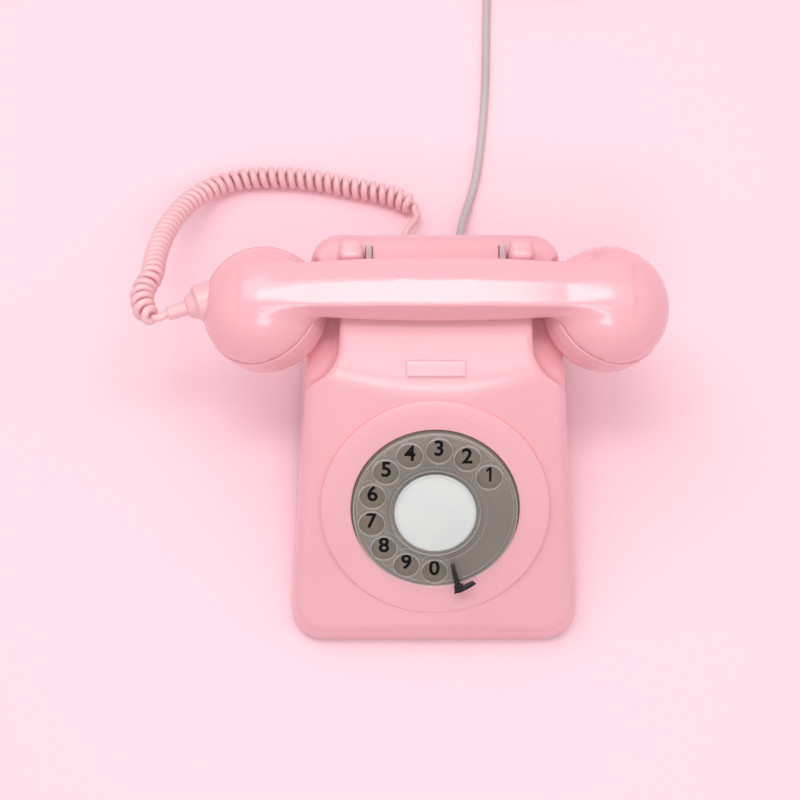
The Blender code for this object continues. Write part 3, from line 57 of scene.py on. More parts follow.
def turned(degrees, axis):
    return Matrix.Rotation(math.radians(degrees), 4, axis)


def tilted(y, z, degrees):
    return moved(0, y, z) @ turned(degrees, "X")


dialPlace = tilted(-42.788, 51.760, 32.5014)
blockPlace = tilted(7.815, 84.0, 19.319)
cradlePlace = tilted(45.759, 84.381, -8.0)
capShape = {"spread": 79.7, "lean": 22.0, "seam": 28.2, "dome": 26.0, "radius": 28.6, "height": 18.0}


def capPlace(side):
    return cradlePlace @ moved(side * capShape["spread"], 0, 0) @ turned(side * capShape["lean"], "Y")


class Value:  # a number socket in a tree, with arithmetic
    def __init__(self, tree, socket):
        self.tree = tree
        self.socket = socket

    def math(self, operation, *values):
        node = self.tree.nodes.new("ShaderNodeMath")
        node.operation = operation
        for place, value in enumerate(values):
            plug(self.tree, node.inputs[place], value)
        return Value(self.tree, node.outputs[0])

    def __add__(self, other):
        return self.math("ADD", self, other)

    def __rsub__(self, other):
        return self.math("SUBTRACT", other, self)

    def __mul__(self, other):
        return self.math("MULTIPLY", self, other)

    def __pow__(self, other):
        return self.math("POWER", self, other)

    __radd__ = __add__

    def smooth(self, low, high):  # 0 below low, 1 above high
        node = self.tree.nodes.new("ShaderNodeMapRange")
        node.interpolation_type = "SMOOTHSTEP"
        plug(self.tree, node.inputs["Value"], self)
        plug(self.tree, node.inputs["From Min"], low)
        plug(self.tree, node.inputs["From Max"], high)
        return Value(self.tree, node.outputs["Result"])


def plug(tree, socket, value):
    if isinstance(value, Value):
        tree.links.new(value.socket, socket)
    elif isinstance(value, (tuple, list)) and len(value) == 3 and socket.type == "RGBA":
        socket.default_value = (*value, 1.0)
    else:
        socket.default_value = value


class Finish:  # one material: node() adds any node, and set() feeds the main shader
    def __init__(self, name):
        self.material = bpy.data.materials.new(name)
        self.material.use_nodes = True
        self.tree = self.material.node_tree
        self.shader = self.tree.nodes["Principled BSDF"]
        self.place = self.node("ShaderNodeTexCoord", out="Object")

    def node(self, kind, settings=None, out=0, **values):  # i6 stands for input 6
        node = self.tree.nodes.new(kind)
        for key, value in (settings or {}).items():
            setattr(node, key, value)
        for key, value in values.items():
            place = int(key[1:]) if key[1:].isdigit() else key.replace("_", " ")
            plug(self.tree, node.inputs[place], value)
        return Value(self.tree, node.outputs[out])

    def noise(self, scale, detail=3.0, rough=0.55, vector=None):
        vector = vector or self.place
        return self.node("ShaderNodeTexNoise", Vector=vector, Scale=scale, Detail=detail, Roughness=rough)

    def wave(self, scale, distortion, bands="X"):
        settings = {"bands_direction": bands}
        return self.node(
            "ShaderNodeTexWave", settings, out=1, Vector=self.place, Scale=scale, Distortion=distortion
        )

    def blend(self, share, a, b):
        return self.node("ShaderNodeMix", {"data_type": "RGBA"}, out=2, i0=share, i6=a, i7=b)

    def stretch(self, scale):
        return self.node("ShaderNodeMapping", Vector=self.place, Scale=scale)

    def bump(self, height, strength, distance):
        return self.node("ShaderNodeBump", Height=height, Strength=strength, Distance=distance)

    def set(self, **values):
        for key, value in values.items():
            plug(self.tree, self.shader.inputs[key.replace("_", " ")], value)
        return self.material

    def mixed(self, share, colours, roughness, relief, **values):  # relief: height, strength, distance
        colour = self.blend(share, *colours)
        return self.set(Base_Color=colour, Roughness=roughness, Normal=self.bump(*relief), **values)


def mouldedPlastic(name, colour, deeper, rough, coat, grain):
    look = Finish(name)
    drift = look.noise(14, 2.0)
    haze = look.noise(55, 4.0, 0.6)
    fine = look.noise(1500, 2.0, 0.5)
    wipes = look.noise(60, 3.0, 0.6, look.stretch((0.25, 1.4, 0.6)))
    share = drift.smooth(0.35, 0.70) * 0.6 + haze.smooth(0.45, 0.8) * 0.2
    roughness = rough - 0.05 + haze * 0.07 + wipes.smooth(0.45, 0.75) * 0.02
    relief = (fine * 0.6 + look.noise(320, 2.0) * 0.4, grain, 0.00006)
    return look.mixed(
        share, (colour, deeper), roughness, relief, Coat_Weight=coat, Coat_Roughness=0.14, IOR=1.49
    )


def clearPlastic(name, colour, deeper, body=0.03, edge=0.85):
    look = Finish(name)
    facing = look.node("ShaderNodeLayerWeight", out=1, Blend=0.45)
    marks = look.noise(420, 4.0, 0.65, look.stretch((1.0, 0.3, 1.0))).smooth(0.60, 0.74)
    share = look.noise(90, 3.0).smooth(0.35, 0.7)
    relief = (look.noise(160, 2.0), 0.06, 0.0001)
    alpha = body + facing ** 1.5 * edge + marks * 0.02
    roughness = 0.05 + marks * 0.15
    return look.mixed(
        share, (colour, deeper), roughness, relief, Alpha=alpha, IOR=1.49, Specular_IOR_Level=0.9
    )


def printedInk(name):
    look = Finish(name)
    colours = (0.003, 0.003, 0.003), (0.007, 0.006, 0.006)
    relief = (look.noise(2500), 0.15, 0.00003)
    roughness = 0.5 + look.noise(700) * 0.15
    return look.mixed(look.noise(900, 3.0), colours, roughness, relief, Specular_IOR_Level=0.10)


def whiteCard(name):
    look = Finish(name)
    fibre = look.noise(900, 5.0, 0.7, look.stretch((1.0, 0.35, 1.0)))
    share = look.noise(60, 3.0).smooth(0.4, 0.75) * 0.5 + fibre.smooth(0.5, 0.8) * 0.3
    colours = (0.68, 0.72, 0.705), (0.61, 0.655, 0.645)
    relief = (fibre, 0.12, 0.00005)
    return look.mixed(share, colours, 0.42 + fibre * 0.1, relief, Coat_Weight=0.35, Coat_Roughness=0.12)


def metal(name, colour, deeper, rough=0.3, stretch=(1.0, 30.0, 30.0), metallic=1.0):
    look = Finish(name)
    brush = look.noise(220, 3.0, 0.6, look.stretch(stretch))
    stain = look.noise(130, 4.0).smooth(0.62, 0.80)
    share = look.noise(45, 3.0).smooth(0.35, 0.75) * 0.6 + stain * 0.3
    roughness = rough - 0.08 + brush * 0.16 + stain * 0.12
    metallic = metallic - stain * 0.15 if metallic == 1.0 else metallic
    return look.mixed(share, (colour, deeper), roughness, (brush, 0.10, 0.00005), Metallic=metallic)


def rubber(name, colour, deeper):
    look = Finish(name)
    dust = look.noise(300, 4.0, 0.7).smooth(0.5, 0.75)
    return look.mixed(dust, (colour, deeper), 0.72 + dust * 0.18, (look.noise(1800, 3.0), 0.25, 0.00008))


def laminateBoard(name):
    look = Finish(name)
    weave = look.wave(900.0, 1.5)
    cloud = look.noise(120, 4.0)
    colours = (0.36, 0.20, 0.085), (0.24, 0.125, 0.05)
    return look.mixed(cloud * 0.7 + weave * 0.3, colours, 0.42 + cloud * 0.2, (weave, 0.08, 0.00004))


def woundWire(name):
    look = Finish(name)
    turns = look.wave(420.0, 0.4, bands="Y")
    colours = (0.20, 0.05, 0.02), (0.58, 0.21, 0.08)
    return look.mixed(turns, colours, 0.30 + look.noise(90, 3.0) * 0.15, (turns, 0.6, 0.0002), Metallic=0.35)


def ceramicCapacitor(name):
    look = Finish(name)
    cloud = look.noise(70, 3.0)
    colours = (0.50, 0.50, 0.49), (0.38, 0.39, 0.40)
    return look.mixed(cloud, colours, 0.34 + cloud * 0.12, (look.noise(600), 0.08, 0.00005), Metallic=0.8)


plastics = {  # name, two colours, roughness, coat, grain
    "pink": ("pinkPlastic", (0.870, 0.452, 0.502), (0.835, 0.420, 0.470), 0.30, 0.35, 0.08),
    "handsetPink": ("handsetPink", (0.890, 0.452, 0.504), (0.860, 0.420, 0.472), 0.26, 0.35, 0.08),
    "palePink": ("palePink", (0.940, 0.525, 0.575), (0.910, 0.480, 0.530), 0.34, 0.35, 0.08),
    "cordPink": ("cordPink", (0.900, 0.560, 0.590), (0.840, 0.490, 0.525), 0.34, 0.2, 0.15),
    "sleevePink": ("sleevePink", (0.890, 0.520, 0.555), (0.840, 0.470, 0.505), 0.36, 0.2, 0.08),
    "taupe": ("taupePlastic", (0.195, 0.166, 0.130), (0.168, 0.142, 0.110), 0.42, 0.15, 0.08),
    "grey": ("greyCord", (0.560, 0.490, 0.500), (0.480, 0.420, 0.430), 0.45, 0.05, 0.2),
    "blackPlastic": ("blackPlastic", (0.018, 0.018, 0.018), (0.03, 0.03, 0.03), 0.38, 0.35, 0.08),
}


looks = {key: mouldedPlastic(*values) for key, values in plastics.items()}
print("materials made:", len(looks))


looks |= {
    "clear": clearPlastic("clearPlastic", (0.86, 0.85, 0.83), (0.80, 0.79, 0.77)),
    "clearPink": clearPlastic("clearPink", (0.96, 0.74, 0.77), (0.94, 0.70, 0.73), body=0.60, edge=0.3),
    "ink": printedInk("digitInk"),
    "card": whiteCard("whiteCard"),
    "blackMetal": metal("blackStop", (0.018, 0.015, 0.015), (0.035, 0.03, 0.03), rough=0.34, metallic=0.4),
    "steel": metal("zincSteel", (0.62, 0.62, 0.63), (0.48, 0.49, 0.50)),
    "brass": metal("plainBrass", (0.78, 0.57, 0.28), (0.60, 0.42, 0.19), rough=0.28),
    "gong": metal("gongBrass", (0.74, 0.58, 0.34), (0.62, 0.46, 0.25), rough=0.2, stretch=(30.0, 30.0, 1.0)),
    "rubber": rubber("darkRubber", (0.035, 0.033, 0.033), (0.085, 0.08, 0.078)),
    "board": laminateBoard("laminateBoard"),
    "winding": woundWire("woundWire"),
    "capacitor": ceramicCapacitor("capacitorCan"),
}


def dress(mesh, look, smooth=0.0):  # one material, and sharp edges above an angle
    mesh.materials.clear()
    mesh.materials.append(looks[look])
    if smooth:
        mesh.shade_smooth()
        mesh.set_sharp_from_angle(angle=math.radians(smooth))


def placed(name, data):  # a new object in the scene
    thing = bpy.data.objects.new(name, data)
    bpy.context.scene.collection.objects.link(thing)
    return thing


def finishMesh(name, mesh, look, smooth=35.0):
    dress(mesh, look, smooth)
    return placed(name, mesh)


def fromBmesh(name, shape, look, place=None, smooth=35.0):  # a bmesh in millimetres
    if place is not None:
        bmesh.ops.transform(shape, matrix=place, verts=shape.verts)
    bmesh.ops.scale(shape, vec=(mm, mm, mm), verts=shape.verts)
    mesh = bpy.data.meshes.new(name)
    shape.to_mesh(mesh)
    shape.free()
    return finishMesh(name, mesh, look, smooth)


def fromArrays(name, points, quads, look, place=None, smooth=40.0):
    points = np.asarray(points, float)
    if place is not None:
        turn = np.array(place)
        points = points @ turn[:3, :3].T + turn[:3, 3]
    mesh = bpy.data.meshes.new(name)
    quads = np.asarray(quads, np.int32)
    mesh.vertices.add(len(points))
    mesh.vertices.foreach_set("co", (points * mm).ravel().astype(np.float32))
    mesh.loops.add(quads.size)
    mesh.loops.foreach_set("vertex_index", quads.ravel())
    mesh.polygons.add(len(quads))
    mesh.polygons.foreach_set("loop_start", np.arange(len(quads), dtype=np.int32) * 4)
    mesh.update(calc_edges=True)
    mesh.validate()
    return finishMesh(name, mesh, look, smooth)


def bridge(shape, low, high):  # faces between two rings of corners, or a ring and a point
    count = max(len(low), len(high))
    for i in range(count):
        j = (i + 1) % count
        corners = [low[i % len(low)], low[j % len(low)], high[j % len(high)], high[i % len(high)]]
        corners = list(dict.fromkeys(corners))
        if len(corners) > 2:
            shape.faces.new(corners)


def faceOut(shape):
    bmesh.ops.recalc_face_normals(shape, faces=shape.faces)


def bevelled(shape, edges, radius, segments):
    bmesh.ops.bevel(shape, geom=edges, offset=radius, segments=segments, profile=0.5, affect="EDGES")


def merged(whole, part):  # adds one bmesh to another
    mesh = bpy.data.meshes.new("part")
    part.to_mesh(mesh)
    part.free()
    whole.from_mesh(mesh)
    bpy.data.meshes.remove(mesh)


def lathe(profile, steps=96):  # (radius, height) from axis to axis, or round a loop
    shape = bmesh.new()
    rings = []
    for radius, height in profile:
        if radius < 1e-6:
            rings.append([shape.verts.new((0, 0, height))])
            continue
        turns = [2 * math.pi * i / steps for i in range(steps)]
        rings.append([shape.verts.new((radius * math.cos(a), radius * math.sin(a), height)) for a in turns])
    following = rings[1:] if profile[0][0] < 1e-6 else rings[1:] + rings[:1]
    for low, high in zip(rings, following):
        bridge(shape, low, high)
    faceOut(shape)
    return shape


def rounded(profile, radii, steps=4):  # fillets the corners of a profile
    result = []
    for i, (here, radius) in enumerate(zip(profile, radii)):
        if not radius:
            result.append(here)
            continue
        before, after = Vector(profile[i - 1]), Vector(profile[(i + 1) % len(profile)])
        here = Vector(here)
        toBefore, toAfter = (before - here).normalized(), (after - here).normalized()
        reach = radius / math.tan(toBefore.angle(toAfter) / 2)
        start, end = here + toBefore * reach, here + toAfter * reach
        for step in range(steps + 1):
            share = step / steps
            result.append(tuple(start.lerp(here, share).lerp(here.lerp(end, share), share)))
    return result


def lathed(name, profile, radii, look, place, steps=96, smooth=35.0):
    return fromBmesh(name, lathe(rounded(profile, radii), steps), look, place, smooth)


def roundedBlock(low, high, radius, segments=3):
    shape = bmesh.new()
    bmesh.ops.create_cube(shape, size=1.0)
    for vert in shape.verts:
        vert.co = [b if c > 0 else a for a, b, c in zip(low, high, vert.co)]
    bevelled(shape, list(shape.edges), radius, segments)
    faceOut(shape)
    return shape


def outlined(outline, low, high, radius=0.0, segments=3, along="Z"):  # in XY, or in YZ run along X
    shape = bmesh.new()
    bottom = [shape.verts.new((a, b, low)) for a, b in outline]
    top = [shape.verts.new((a, b, high)) for a, b in outline]
    shape.faces.new(bottom[::-1])
    shape.faces.new(top)
    bridge(shape, bottom, top)
    faceOut(shape)
    if radius:
        sharp = [edge for edge in shape.edges if edge.calc_face_angle(0) > math.radians(25)]
        bevelled(shape, sharp, radius, segments)
    if along == "X":
        for vert in shape.verts:
            a, b, c = vert.co
            vert.co = (c, a, b)
    faceOut(shape)
    return shape


def cutWith(piece, cutter, operation="DIFFERENCE"):
    modifier = piece.modifiers.new("cut", "BOOLEAN")
    modifier.operation = operation
    modifier.solver = "EXACT"
    modifier.object = cutter
    apply(piece)
    bpy.data.objects.remove(cutter, do_unlink=True)


def apply(piece):  # its modifiers, into its mesh
    bpy.context.view_layer.update()
    settled = piece.evaluated_get(bpy.context.evaluated_depsgraph_get())
    mesh = bpy.data.meshes.new_from_object(settled)
    piece.modifiers.clear()
    piece.data = mesh


def keep(piece, body, slot, *nodes):
    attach(piece, body)
    if nodes:
        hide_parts(*nodes)
    allPieces[piece.name] = piece
    return piece


def roundMax(a, b, radius):
    corner = np.hypot(np.maximum(a + radius, 0), np.maximum(b + radius, 0))
    return np.minimum(np.maximum(a, b), -radius) + corner


def roundMin(a, b, radius):
    return -roundMax(-a, -b, radius)


def softMin(a, b, width):
    near = np.maximum(width - np.abs(a - b), 0) / width
    return np.minimum(a, b) - near * near * width / 4


def surfaceNet(field, low, high, step):
    low = np.array(low, float)
    counts = [int(math.ceil((b - a) / step)) + 1 for a, b in zip(low, high)]
    axes = [low[k] + step * np.arange(counts[k]) for k in range(3)]
    values = field(axes[0][:, None, None], axes[1][None, :, None], axes[2][None, None, :])
    values = np.broadcast_to(values, counts)
    inside = values < 0
    total = np.zeros([n - 1 for n in counts], np.int8)
    corners = [(i, j, k) for i in (0, 1) for j in (0, 1) for k in (0, 1)]
    for i, j, k in corners:
        total += inside[i : counts[0] - 1 + i, j : counts[1] - 1 + j, k : counts[2] - 1 + k]
    active = (total > 0) & (total < 8)
    cells = np.argwhere(active)
    number = np.full(active.shape, -1, np.int64)
    number[active] = np.arange(len(cells))
    sums = np.zeros((len(cells), 3))
    hits = np.zeros(len(cells))
    for first in corners:
        for axis in range(3):
            if first[axis]:
                continue
            second = list(first)
            second[axis] = 1
            a = values[tuple((cells + first).T)]
            b = values[tuple((cells + second).T)]
            crosses = (a < 0) != (b < 0)
            share = np.where(crosses, a / np.where(crosses, a - b, 1), 0)
            spot = np.array(first, float) + share[:, None] * (np.array(second) - np.array(first))
            sums[crosses] += spot[crosses]
            hits[crosses] += 1
    points = low + step * (cells + sums / hits[:, None])
    around = {
        0: [(0, -1, -1), (0, 0, -1), (0, 0, 0), (0, -1, 0)],
        1: [(-1, 0, -1), (-1, 0, 0), (0, 0, 0), (0, 0, -1)],
        2: [(-1, -1, 0), (0, -1, 0), (0, 0, 0), (-1, 0, 0)],
    }
    quads = []
    for axis in range(3):
        lower = np.take(inside, range(counts[axis] - 1), axis)
        upper = np.take(inside, range(1, counts[axis]), axis)
        for leaving in (True, False):
            edges = np.argwhere((lower != upper) & (lower == leaving))
            corner = [number[tuple((edges + shift).T)] for shift in around[axis]]
            quad = np.stack(corner if leaving else corner[::-1], 1)
            quads.append(quad)
    quads = np.concatenate(quads)
    tiny = 0.02
    for _ in range(4):
        here = field(*points.T)
        slope = [field(*(points + shift).T) - field(*(points - shift).T) for shift in np.eye(3) * tiny]
        slope = np.stack(slope, 1) / (2 * tiny)
        move = here[:, None] * slope / np.maximum((slope**2).sum(1), 0.05)[:, None]
        length = np.linalg.norm(move, axis=1)[:, None]
        points = points - move * np.minimum(1, 0.6 * step / np.maximum(length, 1e-9))
    return points, quads


cordExit = {"height": 9.0, "end": 98.5 + 5.0 + 0.3, "hole": 3.7}  # rear wall, grommet and gap
case = {
    "box": ((-72.0, -100.5, 0.5), (72.0, 100.5, 107.0)), "step": 1.3, "frontHalf": 69.7,
    "rearHalf": 65.0, "depth": 197.0, "bottom": 2.0, "bottomEdge": 0.7, "wall": 2.8,
    "sideDraft": 5.7, "sideScale": 1.0053, "frontDraft": 12.0, "rearDraft": 12.0,
    "frontCorner": 15.0, "rearCorner": 13.0, "topEdge": 4.6, "lipEdge": 1.9, "lipEnd": 12.0,
    "lipFade": 16.0, "ridgeSoftness": 1.6, "crownRadius": 640.0, "seat": (46.9, 92.6),
    "seatTilt": 8.0, "seatEdge": 3.0, "cutEdge": 2.2, "bore": 42.4, "boreReach": 9.0,
    "bosses": [(-56, -82), (56, -82), (-54, 86), (54, 86)], "bossRadius": 4.0, "bossLow": 4.3,
    "slotAcross": (29.0, 32.5), "slotAlong": (3.6, 27.4), "slotUp": (-12.0, 16.0),
    "room": {
        "half": 45.6, "height": 79.0, "wallLean": 8.0, "front": 15.0, "frontTurn": 23.3, "fall": 21.8,
        "rear": ((45.6, 54.0, 1.083, 0.678), (57.6, 67.0, 0.35, 0.944)),  # aside, along, slope, scale
        "rearSoftness": 4.0,
        "edges": (9.0, 3.0, 3.5),  # front, rear, floor
        "capCentre": (72.06, 43.1, 65.66),  # with the cap's clearance
        "capHalf": (27.9, 30.1), "capRadius": 28.6, "capNormal": (0.3746, 0.129, 0.918), "capEdge": 3.0,
        "join": 2.0,
    },
    "prong": {
        "inner": 33.2, "width": 11.0, "along": 19.3, "alongHalf": 5.8, "up": 7.0, "upHalf": 15.0,
        "radius": 3.2, "join": 1.6,
    },
}


def tan(degrees):
    return math.tan(math.radians(degrees))


def cosine(degrees):
    return math.cos(math.radians(degrees))


def sine(degrees):
    return math.sin(math.radians(degrees))


def softMax(a, b, width):
    return -softMin(-a, -b, width)


def inPlace(place, x, y, z):
    back = np.array(place.inverted())
    return [back[k, 0] * x + back[k, 1] * y + back[k, 2] * z + back[k, 3] for k in range(3)]


def cradleRoom(x, y, z):  # what is taken off under the handset's ends
    r = case["room"]
    aside = np.abs(x)
    lean, turn, fall = r["wallLean"], r["frontTurn"], r["fall"]
    wall = (r["half"] + (r["height"] - z) * tan(lean) - aside) * cosine(lean)
    front = (r["front"] - (aside - r["half"]) * tan(turn) - y) * cosine(turn)
    near, far = [(y - start - (aside - edge) * slope) * scale for edge, start, slope, scale in r["rear"]]
    floor = (r["height"] - (aside - r["half"]) * tan(fall) - z) * cosine(fall)
    frontEdge, rearEdge, floorEdge = r["edges"]
    shoulder = roundMax(wall, front, frontEdge)
    shoulder = roundMax(shoulder, softMax(near, far, r["rearSoftness"]), rearEdge)
    shoulder = roundMax(shoulder, floor, floorEdge)
    centreX, centreY, centreZ = r["capCentre"]
    halfX, halfY = r["capHalf"]
    normalX, normalY, normalZ = r["capNormal"]
    outward = np.minimum(aside - centreX, 0)
    ring = np.sqrt((outward / halfX) ** 2 + ((y - centreY) / halfY) ** 2)
    ring = (ring - 1) * r["capRadius"]
    under = -((aside - centreX) * normalX + (y - centreY) * normalY + (z - centreZ) * normalZ)
    return roundMin(shoulder, roundMax(ring, under, r["capEdge"]), r["join"])


def caseSolid(x, y, z):
    c = case
    rise = z - c["bottom"]
    half = c["depth"] / 2
    narrowing = (c["frontHalf"] - c["rearHalf"]) / c["depth"]
    side = np.abs(x) + (y + half) * narrowing + rise * tan(c["sideDraft"]) - c["frontHalf"]
    front = (-half + rise * tan(c["frontDraft"]) - y) * cosine(c["frontDraft"])
    rear = (y - half + rise * tan(c["rearDraft"])) * cosine(c["rearDraft"])
    plan = roundMax(roundMax(side / c["sideScale"], front, c["frontCorner"]), rear, c["rearCorner"])
    face = inPlace(dialPlace, x, y, z)[2] + x * x / (2 * c["crownRadius"])
    block = inPlace(blockPlace, x, y, z)[2]
    seatY, seatZ = c["seat"]
    seat = (z - seatZ) * cosine(c["seatTilt"]) + (y - seatY) * sine(c["seatTilt"])
    top = roundMax(softMax(face, block, c["ridgeSoftness"]), seat, c["seatEdge"])
    back = np.clip((y + half - c["lipEnd"]) / c["lipFade"], 0, 1)
    edge = c["lipEdge"] + (c["topEdge"] - c["lipEdge"]) * back * back * (3 - 2 * back)
    return roundMax(roundMax(plan, top, edge), -cradleRoom(x, y, z), c["cutEdge"])


def prongField(x, y, z):
    prong = case["prong"]
    across, along, up = inPlace(cradlePlace, x, y, z)
    half, radius = prong["width"] / 2, prong["radius"]
    a = np.abs(np.abs(across) - prong["inner"] - half) - (half - radius)
    b = np.abs(along - prong["along"]) - (prong["alongHalf"] - radius)
    c = np.abs(up - prong["up"]) - (prong["upHalf"] - radius)
    outside = np.sqrt(np.maximum(a, 0) ** 2 + np.maximum(b, 0) ** 2 + np.maximum(c, 0) ** 2)
    return outside + np.minimum(np.maximum(np.maximum(a, b), c), 0) - radius


def caseField(x, y, z):
    c = case
    solid = caseSolid(x, y, z)
    outer = roundMin(solid, prongField(x, y, z), c["prong"]["join"])
    outer = roundMax(outer, c["bottom"] - z, c["bottomEdge"])
    hollow = solid + c["wall"]
    for bossX, bossY in c["bosses"]:
        boss = np.maximum(np.hypot(x - bossX, y - bossY) - c["bossRadius"], c["bossLow"] - z)
        hollow = np.maximum(hollow, -boss)
    across, along, out = inPlace(dialPlace, x, y, z)
    bore = np.maximum(np.hypot(across, along) - c["bore"], np.abs(out) - c["boreReach"])
    return np.maximum(np.maximum(outer, -hollow), -bore)


def makeCase():
    shell = fromArrays("phoneCase", *surfaceNet(caseField, *case["box"], case["step"]), "pink")
    alongs, ups = case["slotAlong"], case["slotUp"]
    for side in (-1, 1):
        span = sorted(side * edge for edge in case["slotAcross"])
        slot = roundedBlock(*zip(span, alongs, ups), 0.25, 1)
        cutWith(shell, fromBmesh("slotCutter", slot, "pink", cradlePlace))
    radius = cordExit["hole"]
    for x in (curly["exit"], line["exit"]):
        hole = lathe([(0, -112), (radius, -112), (radius, -70), (0, -70)], 32)
        place = moved(x, 0, cordExit["height"]) @ turned(90, "X")
        cutWith(shell, fromBmesh("holeCutter", hole, "pink", place))
    dress(shell.data, "pink", 40)
    keep(shell, "telephone", "pink_plastic", "case_shell")
    print("case:", len(shell.data.polygons), "faces")


surround = {
    "outer": 53.5, "inner": 39.4, "low": -3.0, "top": 0.75, "innerEdge": 0.8, "edge": 0.55,
    "lean": 0.43,
}


def makeSurround():
    s = surround
    profile = [(s["inner"], s["low"]), (s["inner"], s["top"]), (s["outer"], s["top"]), (s["outer"], s["low"])]
    place = dialPlace @ turned(s["lean"], "X")
    ring = lathed("dialSurround", profile, [0, s["innerEdge"], s["edge"], 0], "pink", place, 192)
    keep(ring, "telephone", "pink_plastic")


labelPlate = {
    "half": 13.5, "start": 5.0, "length": 7.0, "low": 0.1, "front": 1.7, "top": 1.9, "slope": 0.4,
    "rear": 1.0, "edge": 0.45,
}


def makeLabelPlate():
    p = labelPlate
    start, end, low = p["start"], p["start"] + p["length"], p["low"]
    outline = [(start, low), (end, low), (end, p["rear"])]
    outline += [(start + p["slope"], p["top"]), (start, p["front"])]
    plate = outlined(outline, -p["half"], p["half"], p["edge"], along="X")
    piece = fromBmesh("labelPlate", plate, "palePink", blockPlace)
    keep(piece, "telephone", "pale_pink_plastic", "label_plate")


dial = {
    "wheel": 38.1,
    "web": (3.9, 1.3, 0.8),  # middle, half height, edge
    "rimInner": 36.6, "rim": (3.1, 2.1, 0.6),
    "collar": (23.6, 0.55, 4.3, 1.5, 0.5),  # radius, half width, middle, half height, edge
    "lip": (0.85, 0.75, 3.7, 1.75, 0.6),  # the same, round each hole
    "joins": (0.5, 0.4, 0.5),  # rim, collar, lips
    "well": (21.4, 4.6),  # for the centre label
    "bore": 3.2, "hole": 6.0, "holeEdge": 0.45, "holeRing": 30.2, "firstHole": 34.8,
    "holeStep": 26.1, "holes": 10, "heights": (0.2, 6.6), "step": 0.5, "digitHeight": 7.2,
    "capital": 0.70,  # of the font's size
    "digitWeight": 0.24, "digitHalf": 0.04, "digitUp": -0.27,
    "one": [(-0.1, 0), (1.0, 0), (1.0, 7.2), (0.1, 7.2), (-1.5, 5.75), (-1.5, 4.6), (-0.1, 5.55)],
}


def around(radius, degrees):
    return radius * cosine(degrees), radius * sine(degrees)


def holePlace(number):
    return around(dial["holeRing"], dial["firstHole"] + number * dial["holeStep"])


def band(r, z, radius, half, middle, rise, edge):  # a ring with a rounded section
    return roundMax(np.abs(r - radius) - half, np.abs(z - middle) - rise, edge)


def wheelField(x, y, z):
    d = dial
    r = np.hypot(x, y)
    webUp, webRise, webEdge = d["web"]
    rimUp, rimRise, rimEdge = d["rim"]
    rimJoin, collarJoin, lipJoin = d["joins"]
    wellRadius, wellFloor = d["well"]
    web = roundMax(np.abs(z - webUp) - webRise, r - d["wheel"], webEdge)
    rim = roundMax(np.maximum(r - d["wheel"], d["rimInner"] - r), np.abs(z - rimUp) - rimRise, rimEdge)
    body = roundMin(roundMin(web, rim, rimJoin), band(r, z, *d["collar"]), collarJoin)
    body = np.maximum(body, -np.maximum(r - wellRadius, wellFloor - z))
    body = np.maximum(body, d["bore"] - r)
    holes = np.full(np.broadcast(x, y).shape, 1e3)
    for number in range(d["holes"]):
        holeX, holeY = holePlace(number)
        holes = np.minimum(holes, np.hypot(x - holeX, y - holeY))
    body = roundMin(body, band(holes - d["hole"], z, *d["lip"]), lipJoin)
    return roundMax(body, d["hole"] - holes, d["holeEdge"])


def makeWheel():
    reach = dial["wheel"] + 1
    low, high = dial["heights"]
    points, quads = surfaceNet(wheelField, (-reach, -reach, low), (reach, reach, high), dial["step"])
    wheel = fromArrays("fingerWheel", points, quads, "clear", dialPlace)
    keep(wheel, "dial", "clear_plastic", "finger_wheel")
    print("finger wheel:", len(wheel.data.polygons), "faces")


def digitMesh(digit):
    if digit == 1:  # drawn with a flag
        shape = outlined(dial["one"], -dial["digitHalf"], dial["digitHalf"])
        mesh = bpy.data.meshes.new("digit")
        shape.to_mesh(mesh)
        shape.free()
        return mesh
    text = bpy.data.curves.new("digit", "FONT")
    text.body = str(digit)
    text.align_x = "CENTER"
    text.align_y = "CENTER"
    text.size = dial["digitHeight"] / dial["capital"]
    text.offset = dial["digitWeight"]
    text.extrude = dial["digitHalf"]
    text.resolution_u = 8
    written = placed("digit", text)
    bpy.context.view_layer.update()
    settled = written.evaluated_get(bpy.context.evaluated_depsgraph_get())
    mesh = bpy.data.meshes.new_from_object(settled)
    bpy.data.objects.remove(written, do_unlink=True)
    return mesh


def makeNumberRing():
    profile = [(17.9, -2.8), (17.9, -0.3), (38.7, -0.3), (39.1, -0.7), (39.1, -2.8)]
    ring = lathed("numberRing", profile, [0, 0.2, 0.2, 0.2, 0], "taupe", dialPlace, 128)
    keep(ring, "telephone", "taupe_plastic", "number_ring")
    whole = bmesh.new()
    for number in range(dial["holes"]):
        mesh = digitMesh((number + 1) % 10)
        corners = np.array([v.co for v in mesh.vertices])
        middle = (corners.max(0) + corners.min(0)) / 2
        x, y = holePlace(number)
        shift = moved(x - middle[0], y - middle[1], dial["digitUp"])
        mesh.transform(Matrix.Scale(mm, 4) @ dialPlace @ shift)
        whole.from_mesh(mesh)
        bpy.data.meshes.remove(mesh)
    bmesh.ops.remove_doubles(whole, verts=whole.verts, dist=0.0000005)
    mesh = bpy.data.meshes.new("dialDigits")
    whole.to_mesh(mesh)
    whole.free()
    keep(finishMesh("dialDigits", mesh, "ink", 30), "telephone", "black_metal")


